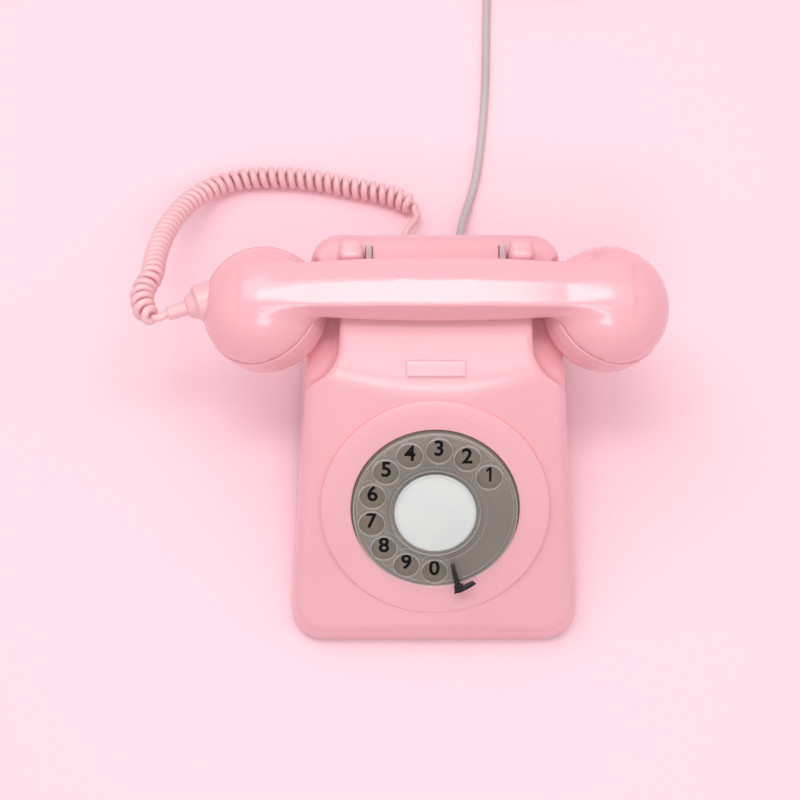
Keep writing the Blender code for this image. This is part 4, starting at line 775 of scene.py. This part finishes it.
def makeDialCentre():
    card = [(0, 4.9), (19.0, 4.9), (19.0, 5.45), (0, 5.6)]
    piece = lathed("centreLabel", card, [0, 0.1, 0.15, 0], "card", dialPlace)
    keep(piece, "dial", "white_card", "centre_label")
    ring = [(19.3, 4.9), (21.1, 4.9), (21.1, 6.2), (20.3, 6.6), (18.2, 6.3), (17.9, 5.8), (19.3, 5.8)]
    piece = lathed("labelRetainer", ring, [0.1, 0.2, 0.4, 0.4, 0.2, 0.1, 0.1], "clear", dialPlace)
    keep(piece, "dial", "clear_plastic", "label_retainer")


stop = {
    "angle": 286.5, "tip": 26.4, "rim": 39.4, "low": 6.2, "high": 7.5,
    "curve": (1.5, 3.2, 2.2),  # degrees
    "half": 0.95, "flare": 0.75, "edge": 0.28, "lug": 8.5, "lugStart": 4,
    "foot": (0.4, 1.9),  # past the rim
    "footUp": (-2.4, 6.9), "footHalf": 2.2, "footEdge": 0.25,
}


def makeStop():
    s = stop
    rim, angle = s["rim"], s["angle"]
    first, second, third = s["curve"]
    left, right = [], []
    for share in (0.0, 0.25, 0.5, 0.75, 1.0):
        radius = s["tip"] + (rim - s["tip"]) * share
        bend = angle + first - second * share + third * share**2
        half = s["half"] + s["flare"] * share**2
        spread = math.degrees(half / radius)
        left.append(around(radius, bend - spread))
        right.append(around(radius, bend + spread))
    lug = angle + s["lugStart"]
    lugInner = [around(rim - 1.3, lug + s["lug"] * t) for t in (0.15, 0.5, 0.85)]
    lugOuter = [around(rim + 1.6 - 0.9 * t, lug + s["lug"] * t) for t in (1.0, 0.6, 0.2)]
    inner, outer = [rim + reach for reach in s["foot"]]
    heel = [around(outer, angle + 1), around(outer, angle - 4)]
    blade = outlined(right + lugInner + lugOuter + heel + left[::-1], s["low"], s["high"], s["edge"], 2)
    low, high = s["footUp"]
    corners = [(inner, low), (outer, low), (outer, high), (inner, high)]
    foot = outlined(corners, -s["footHalf"], s["footHalf"], s["footEdge"], 2)
    bmesh.ops.transform(foot, matrix=turned(angle, "Z") @ turned(90, "X"), verts=foot.verts)
    merged(blade, foot)
    keep(fromBmesh("fingerStop", blade, "blackMetal", dialPlace), "telephone", "black_metal", "finger_stop")


handset = {
    "box": ((-109.0, -31.0, -12.5), (109.0, 31.0, 32.0)), "step": 1.1, "ridge": 29.6, "arch": 5.0,
    "archAt": 75, "bottom": 8.6, "belly": 2.4, "bellyAt": 60, "half": 13.2, "taper": 0.16,
    "taperEnd": 1.3, "roof": 11.9, "wallFrom": 13,
    "wallLean": (0.086, 0.996),  # slope, scale
    "chamfer": (0.852, 0.523), "chamferUp": 4.4, "chamferSoftness": 1.5,
    "edges": (0.9, 1.0),  # roof, underside
    "end": 84, "blend": 7.0, "capRoom": 28.95, "capEdge": 0.25, "wall": 2.6,
}


def domeField(x, y, z, radius, height):
    up = np.maximum(z, 0)
    k = np.sqrt((x / radius) ** 2 + (y / radius) ** 2 + (up / height) ** 2)
    steep = np.sqrt((x / radius**2) ** 2 + (y / radius**2) ** 2 + (up / height**2) ** 2)
    return k * (k - 1) / np.maximum(steep, 1e-4)


def handsetField(x, y, z):
    h = handset
    aside, away = np.abs(x), np.abs(y)
    share = np.minimum((aside / capShape["spread"]) ** 2, h["taperEnd"])
    ridge = h["ridge"] - h["arch"] * (aside / h["archAt"]) ** 2
    bottom = h["bottom"] + h["belly"] * (aside / h["bellyAt"]) ** 2
    half = h["half"] * (1 - h["taper"] * share)
    roof = (z - ridge) * cosine(h["roof"]) + away * sine(h["roof"])
    slope, scale = h["wallLean"]
    wall = (away - half + slope * (z - h["wallFrom"])) * scale
    outward, downward = h["chamfer"]
    chamfer = outward * (away - half) - downward * (z - bottom - h["chamferUp"])
    roofEdge, lowEdge = h["edges"]
    under = softMax(bottom - z, chamfer, h["chamferSoftness"])
    handle = roundMax(roundMax(roof, wall, roofEdge), under, lowEdge)
    handle = np.maximum(handle, aside - h["end"])
    lean, beyond = capShape["lean"], aside - capShape["spread"]
    capX = beyond * cosine(lean) - z * sine(lean)
    capZ = beyond * sine(lean) + z * cosine(lean)
    body = softMin(handle, domeField(capX, y, capZ, capShape["seam"], capShape["dome"]), h["blend"])
    capRoom = np.maximum(np.hypot(capX, y) - h["capRoom"], capZ)
    body = roundMax(body, -capRoom, h["capEdge"])
    hollow = domeField(capX, y, capZ, capShape["seam"] - h["wall"], capShape["dome"] - h["wall"])
    return np.maximum(body, -hollow)


def makeHandset():
    points, quads = surfaceNet(handsetField, *handset["box"], handset["step"])
    shell = fromArrays("handsetShell", points, quads, "handsetPink", cradlePlace)
    keep(shell, "handset", "pink_plastic", "handset_shell")
    print("handset:", len(shell.data.polygons), "faces")


def newTree(name, inputs):  # geometry in and out, and the inputs named
    tree = bpy.data.node_groups.new(name, "GeometryNodeTree")
    sockets = [("Geometry", "INPUT", "Geometry")]
    sockets += [(label, "INPUT", kind) for label, kind in inputs]
    for label, way, kind in sockets + [("Geometry", "OUTPUT", "Geometry")]:
        tree.interface.new_socket(label, in_out=way, socket_type=f"NodeSocket{kind}")
    return tree, tree.nodes.new("NodeGroupInput").outputs, tree.nodes.new("NodeGroupOutput").inputs


def wire(tree, *pairs):
    for start, end in pairs:
        tree.links.new(start, end)


def finishTree(tree, geometry, end, look):  # real geometry in one material
    real = tree.nodes.new("GeometryNodeRealizeInstances")
    finish = tree.nodes.new("GeometryNodeSetMaterial")
    finish.inputs["Material"].default_value = looks[look]
    wire(tree, (geometry, real.inputs[0]), (real.outputs[0], finish.inputs[0]), (finish.outputs[0], end[0]))
    return tree


perforation = {"radius": 1.1, "low": -3, "high": 6, "rings": ((6, 5.0), (12, 10.0))}  # count, radius


def ringTree(look):  # the piece copied round two rings, with one in the middle
    inputs = [("Count 1", "Int"), ("Radius 1", "Float"), ("Count 2", "Int"), ("Radius 2", "Float")]
    tree, start, end = newTree("holesOnRings", inputs)
    gather = tree.nodes.new("GeometryNodeJoinGeometry")
    for ring in (1, 2):
        circle = tree.nodes.new("GeometryNodeMeshCircle")
        copies = tree.nodes.new("GeometryNodeInstanceOnPoints")
        wire(
            tree,
            (start[f"Count {ring}"], circle.inputs["Vertices"]),
            (start[f"Radius {ring}"], circle.inputs["Radius"]),
            (circle.outputs["Mesh"], copies.inputs["Points"]),
            (start["Geometry"], copies.inputs["Instance"]),
            (copies.outputs["Instances"], gather.inputs[0]),
        )
    wire(tree, (start["Geometry"], gather.inputs[0]))
    return finishTree(tree, gather.outputs[0], end, look)


def runTree(piece, tree, **settings):
    modifier = piece.modifiers.new("nodes", "NODES")
    modifier.node_group = tree
    for item in tree.interface.items_tree:
        key = item.name.replace(" ", "")
        if item.in_out == "INPUT" and key in settings:
            modifier[item.identifier] = settings[key]
    apply(piece)


def makeCaps():
    face = -capShape["height"]
    tree = ringTree("handsetPink")
    outside = [(0, face + 1.7), (12, face + 1.1), (19.5, face + 0.1), (25.2, face + 0.9)]
    outside += [(27.9, -12.4), (28.75, -6.0), (28.75, -0.7), (28.4, -0.15)]
    inside = [(26.2, -0.15), (26.0, -12.0), (20.0, face + 2.9), (0, face + 4.2)]
    profile = rounded(outside + inside, [0, 8, 2.2, 1.9, 6, 3, 0.35, 0.25, 0.3, 1.0, 1.0, 0], 5)
    radius, low, high = perforation["radius"], face + perforation["low"], face + perforation["high"]
    (count1, radius1), (count2, radius2) = perforation["rings"]
    for side, name, node in ((1, "earpieceCap", "earpiece_cap"), (-1, "mouthpieceCap", "mouthpiece_cap")):
        cap = fromBmesh(name, lathe(profile, 112), "handsetPink", capPlace(side), 32)
        drill = fromBmesh("drill", lathe([(0, low), (radius, low), (radius, high), (0, high)], 14), "pink")
        runTree(drill, tree, Count1=count1, Radius1=radius1 * mm, Count2=count2, Radius2=radius2 * mm)
        drill.data.transform(Matrix.Scale(mm, 4) @ capPlace(side) @ Matrix.Scale(1 / mm, 4))
        cutWith(cap, drill)
        dress(cap.data, "handsetPink", 32)
        keep(cap, "handset", "pink_plastic", node)


nozzle = {
    "reach": -107.602, "up": 4.0, "turn": 20.0, "root": -14.0, "flare": 8.9, "cone": 6.5,
    "length": 16.0, "sleeve": 3.35,
}
nozzlePlace = cradlePlace @ moved(nozzle["reach"], 0, nozzle["up"]) @ turned(nozzle["turn"], "Z")


def makeNozzle():
    root, flare, cone, end, sleeve = (nozzle[key] for key in ("root", "flare", "cone", "length", "sleeve"))
    profile = [(0, root), (flare, root), (flare, 1.5), (6.6, 2.9), (4.9, cone), (4.1, cone + 0.2)]
    profile += [(sleeve + 0.1, cone + 0.5), (sleeve - 0.2, end - 0.3), (2.3, end), (0, end)]
    radii = [0, 0.6, 1.2, 3.0, 0.4, 0.2, 0.2, 0.6, 0.2, 0]
    piece = lathed("cordNozzle", profile, radii, "sleevePink", nozzlePlace @ turned(-90, "Y"), 64, 30)
    keep(piece, "handset", "pale_pink_plastic", "handset_cord_nozzle")


plunger = {
    "across": (29.4, 32.2), "front": 4.0, "rear": 27.0, "low": 8.3 - 16.0, "top": 8.3, "step": 11.4,
    "hump": (17.0, 4.6), "rearRise": 3.6, "edge": 0.6,
}


def makePlungers():
    p = plunger
    front, rear, low, top = p["front"], p["rear"], p["low"], p["top"]
    humpAt, humpRise = p["hump"]
    outline = [(front, low), (rear, low), (rear, top + p["rearRise"]), (humpAt, top + humpRise)]
    outline += [(p["step"], top), (front, top)]
    for side, name in ((-1, "left"), (1, "right")):
        span = sorted(side * edge for edge in p["across"])
        blade = outlined(outline, *span, p["edge"], along="X")
        piece = fromBmesh(f"{name}Plunger", blade, "clearPink", cradlePlace)
        keep(piece, f"{name}_plunger", "clear_plastic", f"plunger_{name}")


def smoothCurve(points, spacing):
    route = np.array([tuple(p) for p in points], float)
    ends = np.vstack([2 * route[0] - route[1], route, 2 * route[-1] - route[-2]])
    fine = []
    for a, b, c, d in zip(ends, ends[1:], ends[2:], ends[3:]):
        second, third = 2 * a - 5 * b + 4 * c - d, 3 * b - a - 3 * c + d
        for t in np.linspace(0, 1, 40, endpoint=False):
            fine.append(0.5 * (2 * b + (c - a) * t + second * t**2 + third * t**3))
    fine.append(route[-1])
    fine = np.array(fine)
    along = np.concatenate([[0], np.cumsum(np.linalg.norm(np.diff(fine, axis=0), axis=1))])
    count = max(2, int(round(along[-1] / spacing)))
    even = np.linspace(0, along[-1], count + 1)
    return np.column_stack([np.interp(even, along, fine[:, axis]) for axis in range(3)])


def carried(points, start):  # two directions across a path, without twist
    tangents = np.gradient(points, axis=0)
    tangents /= np.linalg.norm(tangents, axis=1)[:, None]
    side = np.cross(tangents[0], start)
    sides = []
    for tangent in tangents:
        side = side - tangent * side.dot(tangent)
        side /= np.linalg.norm(side)
        sides.append(side)
    return np.array(sides), np.cross(tangents, sides)


def tube(name, points, radius, sides, look):  # round, closed at both ends
    points = np.asarray(points, float)
    turns = 2 * math.pi * np.arange(sides) / sides
    shape = bmesh.new()
    rings = []
    for point, side, up in zip(points, *carried(points, (0.31, 0.17, 1.0))):
        ring = point + radius * (np.cos(turns)[:, None] * side + np.sin(turns)[:, None] * up)
        rings.append([shape.verts.new(tuple(corner)) for corner in ring])
    for ring, following in zip(rings, rings[1:]):
        bridge(shape, ring, following)
    shape.faces.new(rings[0][::-1])
    shape.faces.new(rings[-1])
    faceOut(shape)
    return fromBmesh(name, shape, look, None, 50)


curly = {
    "wire": 3.6, "outer": 11.3, "turns": 50, "turnPoints": 18, "exit": -14.0, "leadIn": 0.0207,
    "leadOut": 0.08, "growTurns": 0.9, "bodyEnd": (-0.122, 0.126, 0.016),
    "handsetEnd": (-0.1245, 0.0405, 0.0888),
}


def curlyRoute(start):
    rest = curly["outer"] / 2 + 0.3
    height, end = cordExit["height"], cordExit["end"]
    return [
        start,
        start + Vector((-4.2, -1.9, -0.3)),
        start + Vector((-8.6, -0.3, -1.0)),
        start + Vector((-11.7, 6.3, -3.9)),
        start + Vector((-12.6, 13.5, -8.2)),
        start + Vector((-10.0, 23.6, -15.1)),
        (-133.7, 78.5, 60.6),
        (-133.2, 91.5, 48.4),
        (-131.2, 103.6, 37.0),
        (-127.2, 116.6, 24.6),
        (-120.6, 127.6, 14.6),
        (-111.0, 135.9, 8.4),
        (-98.0, 140.3, rest),
        (-85.0, 141.2, rest),
        (-71.0, 140.7, rest),
        (-58.0, 139.2, rest),
        (-45.0, 136.5, rest),
        (-32.0, 133.7, rest),
        (-20.5, 130.8, rest),
        (-11.5, 126.2, rest),
        (-7.6, 119.8, rest + 0.8),
        (-10.2, 114.6, height - 0.6),
        (-13.4, 110.4, height),
        (curly["exit"], 107.2, height),
        (curly["exit"], end, height),
    ]


def makeCurlyCord():
    start = nozzlePlace @ Vector((-nozzle["length"], 0, 0)) + Vector((-0.5, -0.15, 0))
    route = smoothCurve(curlyRoute(start), 0.5)
    last = len(route) - 1
    along = np.arange(len(route)) / last
    leadIn, leadOut, turns = curly["leadIn"], curly["leadOut"], curly["turns"]
    places = [0.0, leadIn * 0.3, leadIn * 0.6]
    places += list(np.linspace(leadIn, 1 - leadOut, turns * curly["turnPoints"] + 1))
    places += [1 - leadOut * share for share in (0.8, 0.6, 0.4, 0.2, 0.0)]
    radius = (curly["outer"] - curly["wire"]) / 2
    sides, ups = carried(route, (0, 0, 1))
    points = []
    for place in places:
        middle = np.array([np.interp(place, along, route[:, axis]) for axis in range(3)])
        index = min(int(round(place * last)), last)
        turn = (place - leadIn) / (1 - leadIn - leadOut) * turns
        left = min(turn, turns - turn)
        grow = min(1.0, max(0.0, left / curly["growTurns"]))
        angle = 2 * math.pi * turn
        offset = sides[index] * math.cos(angle) + ups[index] * math.sin(angle)
        points.append(middle + offset * radius * grow)
    points = np.array(points)
    points[:, 2] = np.maximum(points[:, 2], curly["wire"] / 2 + 0.1)
    cord = tube("handsetCord", points, curly["wire"] / 2, 12, "cordPink")
    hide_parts("handset_cord")
    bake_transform(cord)
    allPieces["handsetCord"] = cord


line = {
    "diameter": 4.2, "exit": 14.5, "pitch": 5.25, "layers": 4, "layerLoops": 2.6875,
    "meanRadius": 24.0, "coilX": 31.0, "coilY": 288.0, "loopPoints": 24, "tail": 48.0,
    "spacing": 3.0,
}


tie = {"gauge": 0.9, "half": 3.0, "edge": 0.2, "corner": 1.6, "turn": -25, "floor": 0.2}


def coilCentre():
    return line["coilX"] + line["meanRadius"] + line["pitch"] * line["layerLoops"] / 2, line["coilY"]


def coilPoints():
    centreX, centreY = coilCentre()
    pitch, loops, diameter = line["pitch"], line["layerLoops"], line["diameter"]
    base = tie["floor"] + tie["gauge"] + 0.3 + diameter / 2
    outer = line["meanRadius"] + pitch * loops / 2
    spiral = loops - 0.5  # the rest of a layer climbs to the next
    total = line["layers"] * loops - 0.5
    points = []
    for step in range(int(total * line["loopPoints"]) + 1):
        turns = step / line["loopPoints"]
        layer = min(int(turns / loops), line["layers"] - 1)
        within = turns - layer * loops
        inward = min(within, spiral) * pitch
        climb = max(0.0, within - spiral) / 0.5 if layer < line["layers"] - 1 else 0.0
        radius = outer - inward if layer % 2 == 0 else outer - spiral * pitch + inward
        angle = math.pi - 2 * math.pi * turns
        x, y = centreX + radius * math.cos(angle), centreY + radius * math.sin(angle)
        points.append(np.array((x, y, base + (layer + climb) * pitch)))
    first = points[0] - np.array((0, diameter, 0))
    top = points[-1]
    rest = plugShape["tall"] + 0.2
    for step in range(1, 9):
        along = line["tail"] * step / 8
        fall = min(1.0, max(0.0, (along - 9) / (line["tail"] - diameter - 10)))
        drop = (top[2] - rest) * (1 - math.cos(math.pi * fall)) / 2
        points.append(top + np.array((along, 0.006 * min(along, 40) ** 2, -drop)))
    last = points[-1] + np.array((diameter, 0, 0))
    return [first] + points + [last]


plugShape = {
    "half": 5.5, "tall": 4.5, "length": 16, "edge": 0.9, "contacts": 4, "firstContact": -2.4,
    "between": 1.6,
    "groove": (11.5, 17, 0.4),  # from, to, half width
    "pin": (12.0, 15.6, 0.25), "latchHalf": 2.5,
}


def makePlug(place):
    p = plugShape
    half, tall = p["half"], p["tall"]
    block = roundedBlock((0, -half, -tall), (p["length"], half, tall), p["edge"])
    body = fromBmesh("linePlug", block, "grey", place)
    pins = bmesh.new()
    for contact in range(p["contacts"]):
        y = p["firstContact"] + contact * p["between"]
        start, end, wide = p["groove"]
        cutter = roundedBlock((start, y - wide, -tall - 1), (end, y + wide, -tall + 1.8), 0.05, 1)
        cutWith(body, fromBmesh("grooveCutter", cutter, "grey", place))
        start, end, wide = p["pin"]
        merged(pins, roundedBlock((start, y - wide, -tall + 0.7), (end, y + wide, -tall + 1.7), 0.08, 1))
    dress(body.data, "grey")
    low = tall + 0.1
    outline = [(2, low), (15, low), (15, low + 1.2), (12, low + 1.6), (4, low + 3.8), (3.2, low + 3)]
    outline += [(9, low + 1.1), (2, low + 1.1)]
    latch = outlined(outline, -p["latchHalf"], p["latchHalf"], 0.2, 2)
    pins = fromBmesh("plugPins", pins, "brass", place)
    latch = fromBmesh("plugLatch", latch, "grey", place @ turned(90, "X"))
    return [
        keep(body, "telephone", "grey_plastic", "line_plug"),
        keep(pins, "telephone", "brass"),
        keep(latch, "telephone", "grey_plastic", "plug_latch"),
    ]


def makeLineCord():
    diameter, out = line["diameter"], line["exit"]
    height, start = cordExit["height"], cordExit["end"]
    rest = diameter / 2 + 0.1
    coil = coilPoints()
    x, y, z = coil[0]
    middle = [
        (out, start + diameter, height),
        (out + 1.8, start + 13, height - 3.2),
        (out + 5.0, start + 24, rest + 1.2),
        (out + 8.8, start + 38, rest),
        (out + 12.0, start + 60, rest),
        (out + 14.5, start + 90, rest),
        (x - 0.8, y - 50, rest),
        (x, y - 22, rest + 0.4),
        (x, y - 0.3 - diameter, z),
    ]
    points = [np.array((out, start, height))] + list(smoothCurve(middle, line["spacing"]))
    points += list(smoothCurve(coil, line["spacing"]))
    cord = tube("lineCord", points, diameter / 2, 14, "grey")
    keep(cord, "telephone", "grey_plastic", "line_cord", "line_cord_coil")
    plugPieces = makePlug(moved(*(Vector(coil[-1]) + Vector((0.3, 0, 0)))))


def makeTie():
    pitch, diameter, gauge = line["pitch"], line["diameter"], tie["gauge"]
    loops = line["layerLoops"]
    outer = line["meanRadius"] + pitch * loops / 2 + diameter / 2 + 0.6
    inner = outer - pitch * (loops - 0.5) - diameter - 1.5
    low = tie["floor"] + gauge
    high = low + 0.6 + pitch * (line["layers"] - 1) + diameter
    path = rounded([(inner, low), (outer, low), (outer, high), (inner, high)], [tie["corner"]] * 4, 6)
    centre = Vector(((inner + outer) / 2, (low + high) / 2))
    half, edge = tie["half"], tie["edge"]
    shape = bmesh.new()
    rings = []
    for i, point in enumerate(path):
        here = Vector(point)
        ahead = Vector(path[(i + 1) % len(path)]) - Vector(path[i - 1])
        out = Vector((ahead.y, -ahead.x)).normalized()
        if out.dot(here - centre) < 0:
            out = -out
        far = here + out * gauge
        section = [(here, half - edge), (here + out * edge, half)]
        section += [(far - out * edge, half), (far, half - edge)]
        section = [(point, -across) for point, across in section] + section[::-1]
        rings.append([shape.verts.new((spot.x, across, spot.y)) for spot, across in section])
    for ring, following in zip(rings, rings[1:] + rings[:1]):
        bridge(shape, ring, following)
    faceOut(shape)
    place = moved(*coilCentre(), 0) @ turned(tie["turn"], "Z")
    keep(fromBmesh("cordTie", shape, "card", place), "telephone", "white_card", "cord_tie")


def makeGrommets():
    for name, node, x, bore, look, slot in (
        ("handsetCordGrommet", "handset_cord_grommet", curly["exit"], 1.95, "palePink", "pale_pink_plastic"),
        ("lineCordGrommet", "line_cord_grommet", line["exit"], 2.15, "grey", "grey_plastic"),
    ):
        profile = [(0, -91.2), (3.4, -91.2), (3.4, -98.7), (5.2, -98.7), (5.2, -100.1), (3.6, -100.5)]
        profile += [(bore + 0.8, -103.2), (bore, -103.5), (0, -103.5)]
        place = moved(x, 0, cordExit["height"]) @ turned(90, "X")
        piece = lathed(name, profile, [0, 0.3, 0, 0.3, 0.3, 0.4, 0.3, 0.1, 0], look, place, 48, 30)
        keep(piece, "telephone", slot, node)


def repeatTree(look):  # one piece on every point of the mesh
    tree, start, end = newTree("pieceOnPoints", [("Piece", "Object"), ("Turn", "Float")])
    source = tree.nodes.new("GeometryNodeObjectInfo")
    copies = tree.nodes.new("GeometryNodeInstanceOnPoints")
    order = tree.nodes.new("GeometryNodeInputIndex")
    spin = tree.nodes.new("ShaderNodeMath")
    spin.operation = "MULTIPLY"
    turn = tree.nodes.new("ShaderNodeCombineXYZ")
    wire(
        tree,
        (start["Piece"], source.inputs["Object"]),
        (start["Geometry"], copies.inputs["Points"]),
        (source.outputs["Geometry"], copies.inputs["Instance"]),
        (order.outputs[0], spin.inputs[0]),
        (start["Turn"], spin.inputs[1]),
        (spin.outputs[0], turn.inputs["Z"]),
        (turn.outputs[0], copies.inputs["Rotation"]),
    )
    return finishTree(tree, copies.outputs[0], end, look)


def repeated(name, shape, places, look, turn):
    source = fromBmesh(f"{name}Source", shape, look)
    mesh = bpy.data.meshes.new(name)
    mesh.from_pydata([(x * mm, y * mm, 0) for x, y in places], [], [])
    piece = placed(name, mesh)
    runTree(piece, repeatTree(look), Piece=source, Turn=turn)
    bpy.data.objects.remove(source, do_unlink=True)
    dress(piece.data, look, 35)
    return piece


fixings = {
    "screws": [(-53.7, -82), (53.7, -82), (-54, 86), (54, 86)], "screwTurn": 1.1,
    "foot": (54.0, 63.5),
}


def makeUnderside():
    screw = [(0, 0.6), (2.6, 0.6), (3.2, 1.1), (3.2, 2.0), (1.5, 2.0), (1.5, 12.8), (0, 12.8)]
    solid = lathed("screwBlank", screw, [0, 0.4, 0.2, 0, 0, 0.3, 0], "steel", None, 32)
    slot = roundedBlock((-4, -0.4, 0.2), (4, 0.4, 1.3), 0.02, 1)
    cutWith(solid, fromBmesh("screwSlot", slot, "steel"))
    blank = bmesh.new()
    blank.from_mesh(solid.data)
    bmesh.ops.scale(blank, vec=(1 / mm, 1 / mm, 1 / mm), verts=blank.verts)
    bpy.data.objects.remove(solid, do_unlink=True)
    screws = repeated("caseScrews", blank, fixings["screws"], "steel", fixings["screwTurn"])
    corners = ("front_left", "front_right", "rear_left", "rear_right")
    keep(screws, "telephone", "steel", *(f"case_screw_{corner}" for corner in corners))

    foot = [(0, 0.5), (4.6, 0.5), (5.2, 0.0), (6.6, 0.0), (7.0, 0.5), (7.0, 2.0), (2.4, 2.0)]
    foot += [(2.4, 6.1), (0, 6.1)]
    shape = lathe(rounded(foot, [0, 0.3, 0.2, 0.2, 0.2, 0.2, 0, 0.4, 0]), 48)
    x, y = fixings["foot"]
    feet = repeated("rubberFeet", shape, [(-x, -y), (x, -y), (-x, y), (x, y)], "rubber", 0.0)
    keep(feet, "telephone", "dark_rubber", *(f"foot_{corner}" for corner in corners))


nodeLooks = {
    "steel": [
        "base_plate", "dial_plate", "dial_back_plate", "mainspring_case", "switch_bracket", "lever_pin",
        "bell_frame", "gong_post_left", "gong_post_right", "dial_spindle", "governor_shaft",
        "receiver_capsule", "transmitter_capsule", "switch_lever", "clapper",
    ],
    "brass": ["impulse_contacts", "hook_switch_contacts", "main_gear", "governor_pinion", "governor_drum"],
    "gong": ["gong_left", "gong_right"],
    "board": ["circuit_board"],
    "winding": ["bell_coil_left", "bell_coil_right", "induction_coil"],
    "capacitor": ["capacitor"],
    "blackPlastic": ["terminal_block"],
}


def finishNodes():
    for look, names in nodeLooks.items():
        for name in names:
            dress(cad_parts[name].data, look)


stageLook = {
    "floor": (1.0, 0.690, 0.765),
    "floorHalf": 6,
    "world": (1.0, 0.955, 0.965, 1.0),
    "worldStrength": 0.565,
    "lampColour": (1.0, 0.985, 0.98),
    "lampAim": (0, 0, 0.04),
    "lens": 70.7,
    "elevation": 76,
    "distance": 0.80,
    "aim": (-0.0164, 0.0226, 0),
    "lamps": (  # name, place, size, power
        ("bandLamp", (-0.02, 0.215, 1.05), (0.62, 0.20), 2.9),
        ("ridgeLamp", (-0.05, -0.70, 0.98), (0.45, 0.12), 1.5),
        ("keyLamp", (-0.50, 0.70, 1.35), (1.1, 0.9), 5.2),
        ("blockLamp", (0.0, -0.40, 1.0), (0.50, 0.16), 1.0),
        ("sideLamp", (0.9, 0.15, 1.2), (0.9, 0.9), 1.6),
    ),
}


def makeStage():
    s = stageLook
    look = Finish("floorPaper")
    look.set(Base_Color=s["floor"], Roughness=0.9, Specular_IOR_Level=0.1)
    mesh = bpy.data.meshes.new("floor")
    half = s["floorHalf"]
    corners = [(-half, -half, 0), (half, -half, 0), (half, half, 0), (-half, half, 0)]
    mesh.from_pydata(corners, [], [(0, 1, 2, 3)])
    mesh.materials.append(look.material)
    placed("floor", mesh)

    world = bpy.data.worlds.new("studio")
    world.use_nodes = True
    background = world.node_tree.nodes["Background"]
    background.inputs["Color"].default_value = s["world"]
    background.inputs["Strength"].default_value = s["worldStrength"]
    bpy.context.scene.world = world

    for name, spot, size, power in s["lamps"]:
        lamp = bpy.data.lights.new(name, "AREA")
        lamp.shape = "RECTANGLE"
        lamp.size, lamp.size_y = size
        lamp.energy = power
        lamp.color = s["lampColour"]
        stand = placed(name, lamp)
        stand.location = spot
        stand.rotation_euler = (Vector(s["lampAim"]) - Vector(spot)).to_track_quat("-Z", "Y").to_euler()

    camera = bpy.data.cameras.new("camera")
    camera.lens = s["lens"]
    camera.sensor_width = 36.0
    camera.clip_start = 0.05
    elevation = math.radians(s["elevation"])
    forward = Vector((0, math.cos(elevation), -math.sin(elevation)))
    stand = placed("camera", camera)
    stand.location = Vector(s["aim"]) - forward * s["distance"]
    stand.rotation_euler = (math.pi / 2 - elevation, 0, 0)
    bpy.context.scene.camera = stand
    bpy.context.scene.view_settings.view_transform = "Standard"


makeStage()
print("stage, lights and camera set")
makeCurlyCord()
makeLineCord()
makeTie()
makeGrommets()
print("cords made")
makeCase()
makeSurround()
makeLabelPlate()
makeNumberRing()
makeWheel()
makeDialCentre()
makeStop()
print("dial made")
makeHandset()
makeCaps()
makeNozzle()
makePlungers()
makeUnderside()
finishNodes()
print("pieces made:", len(allPieces))
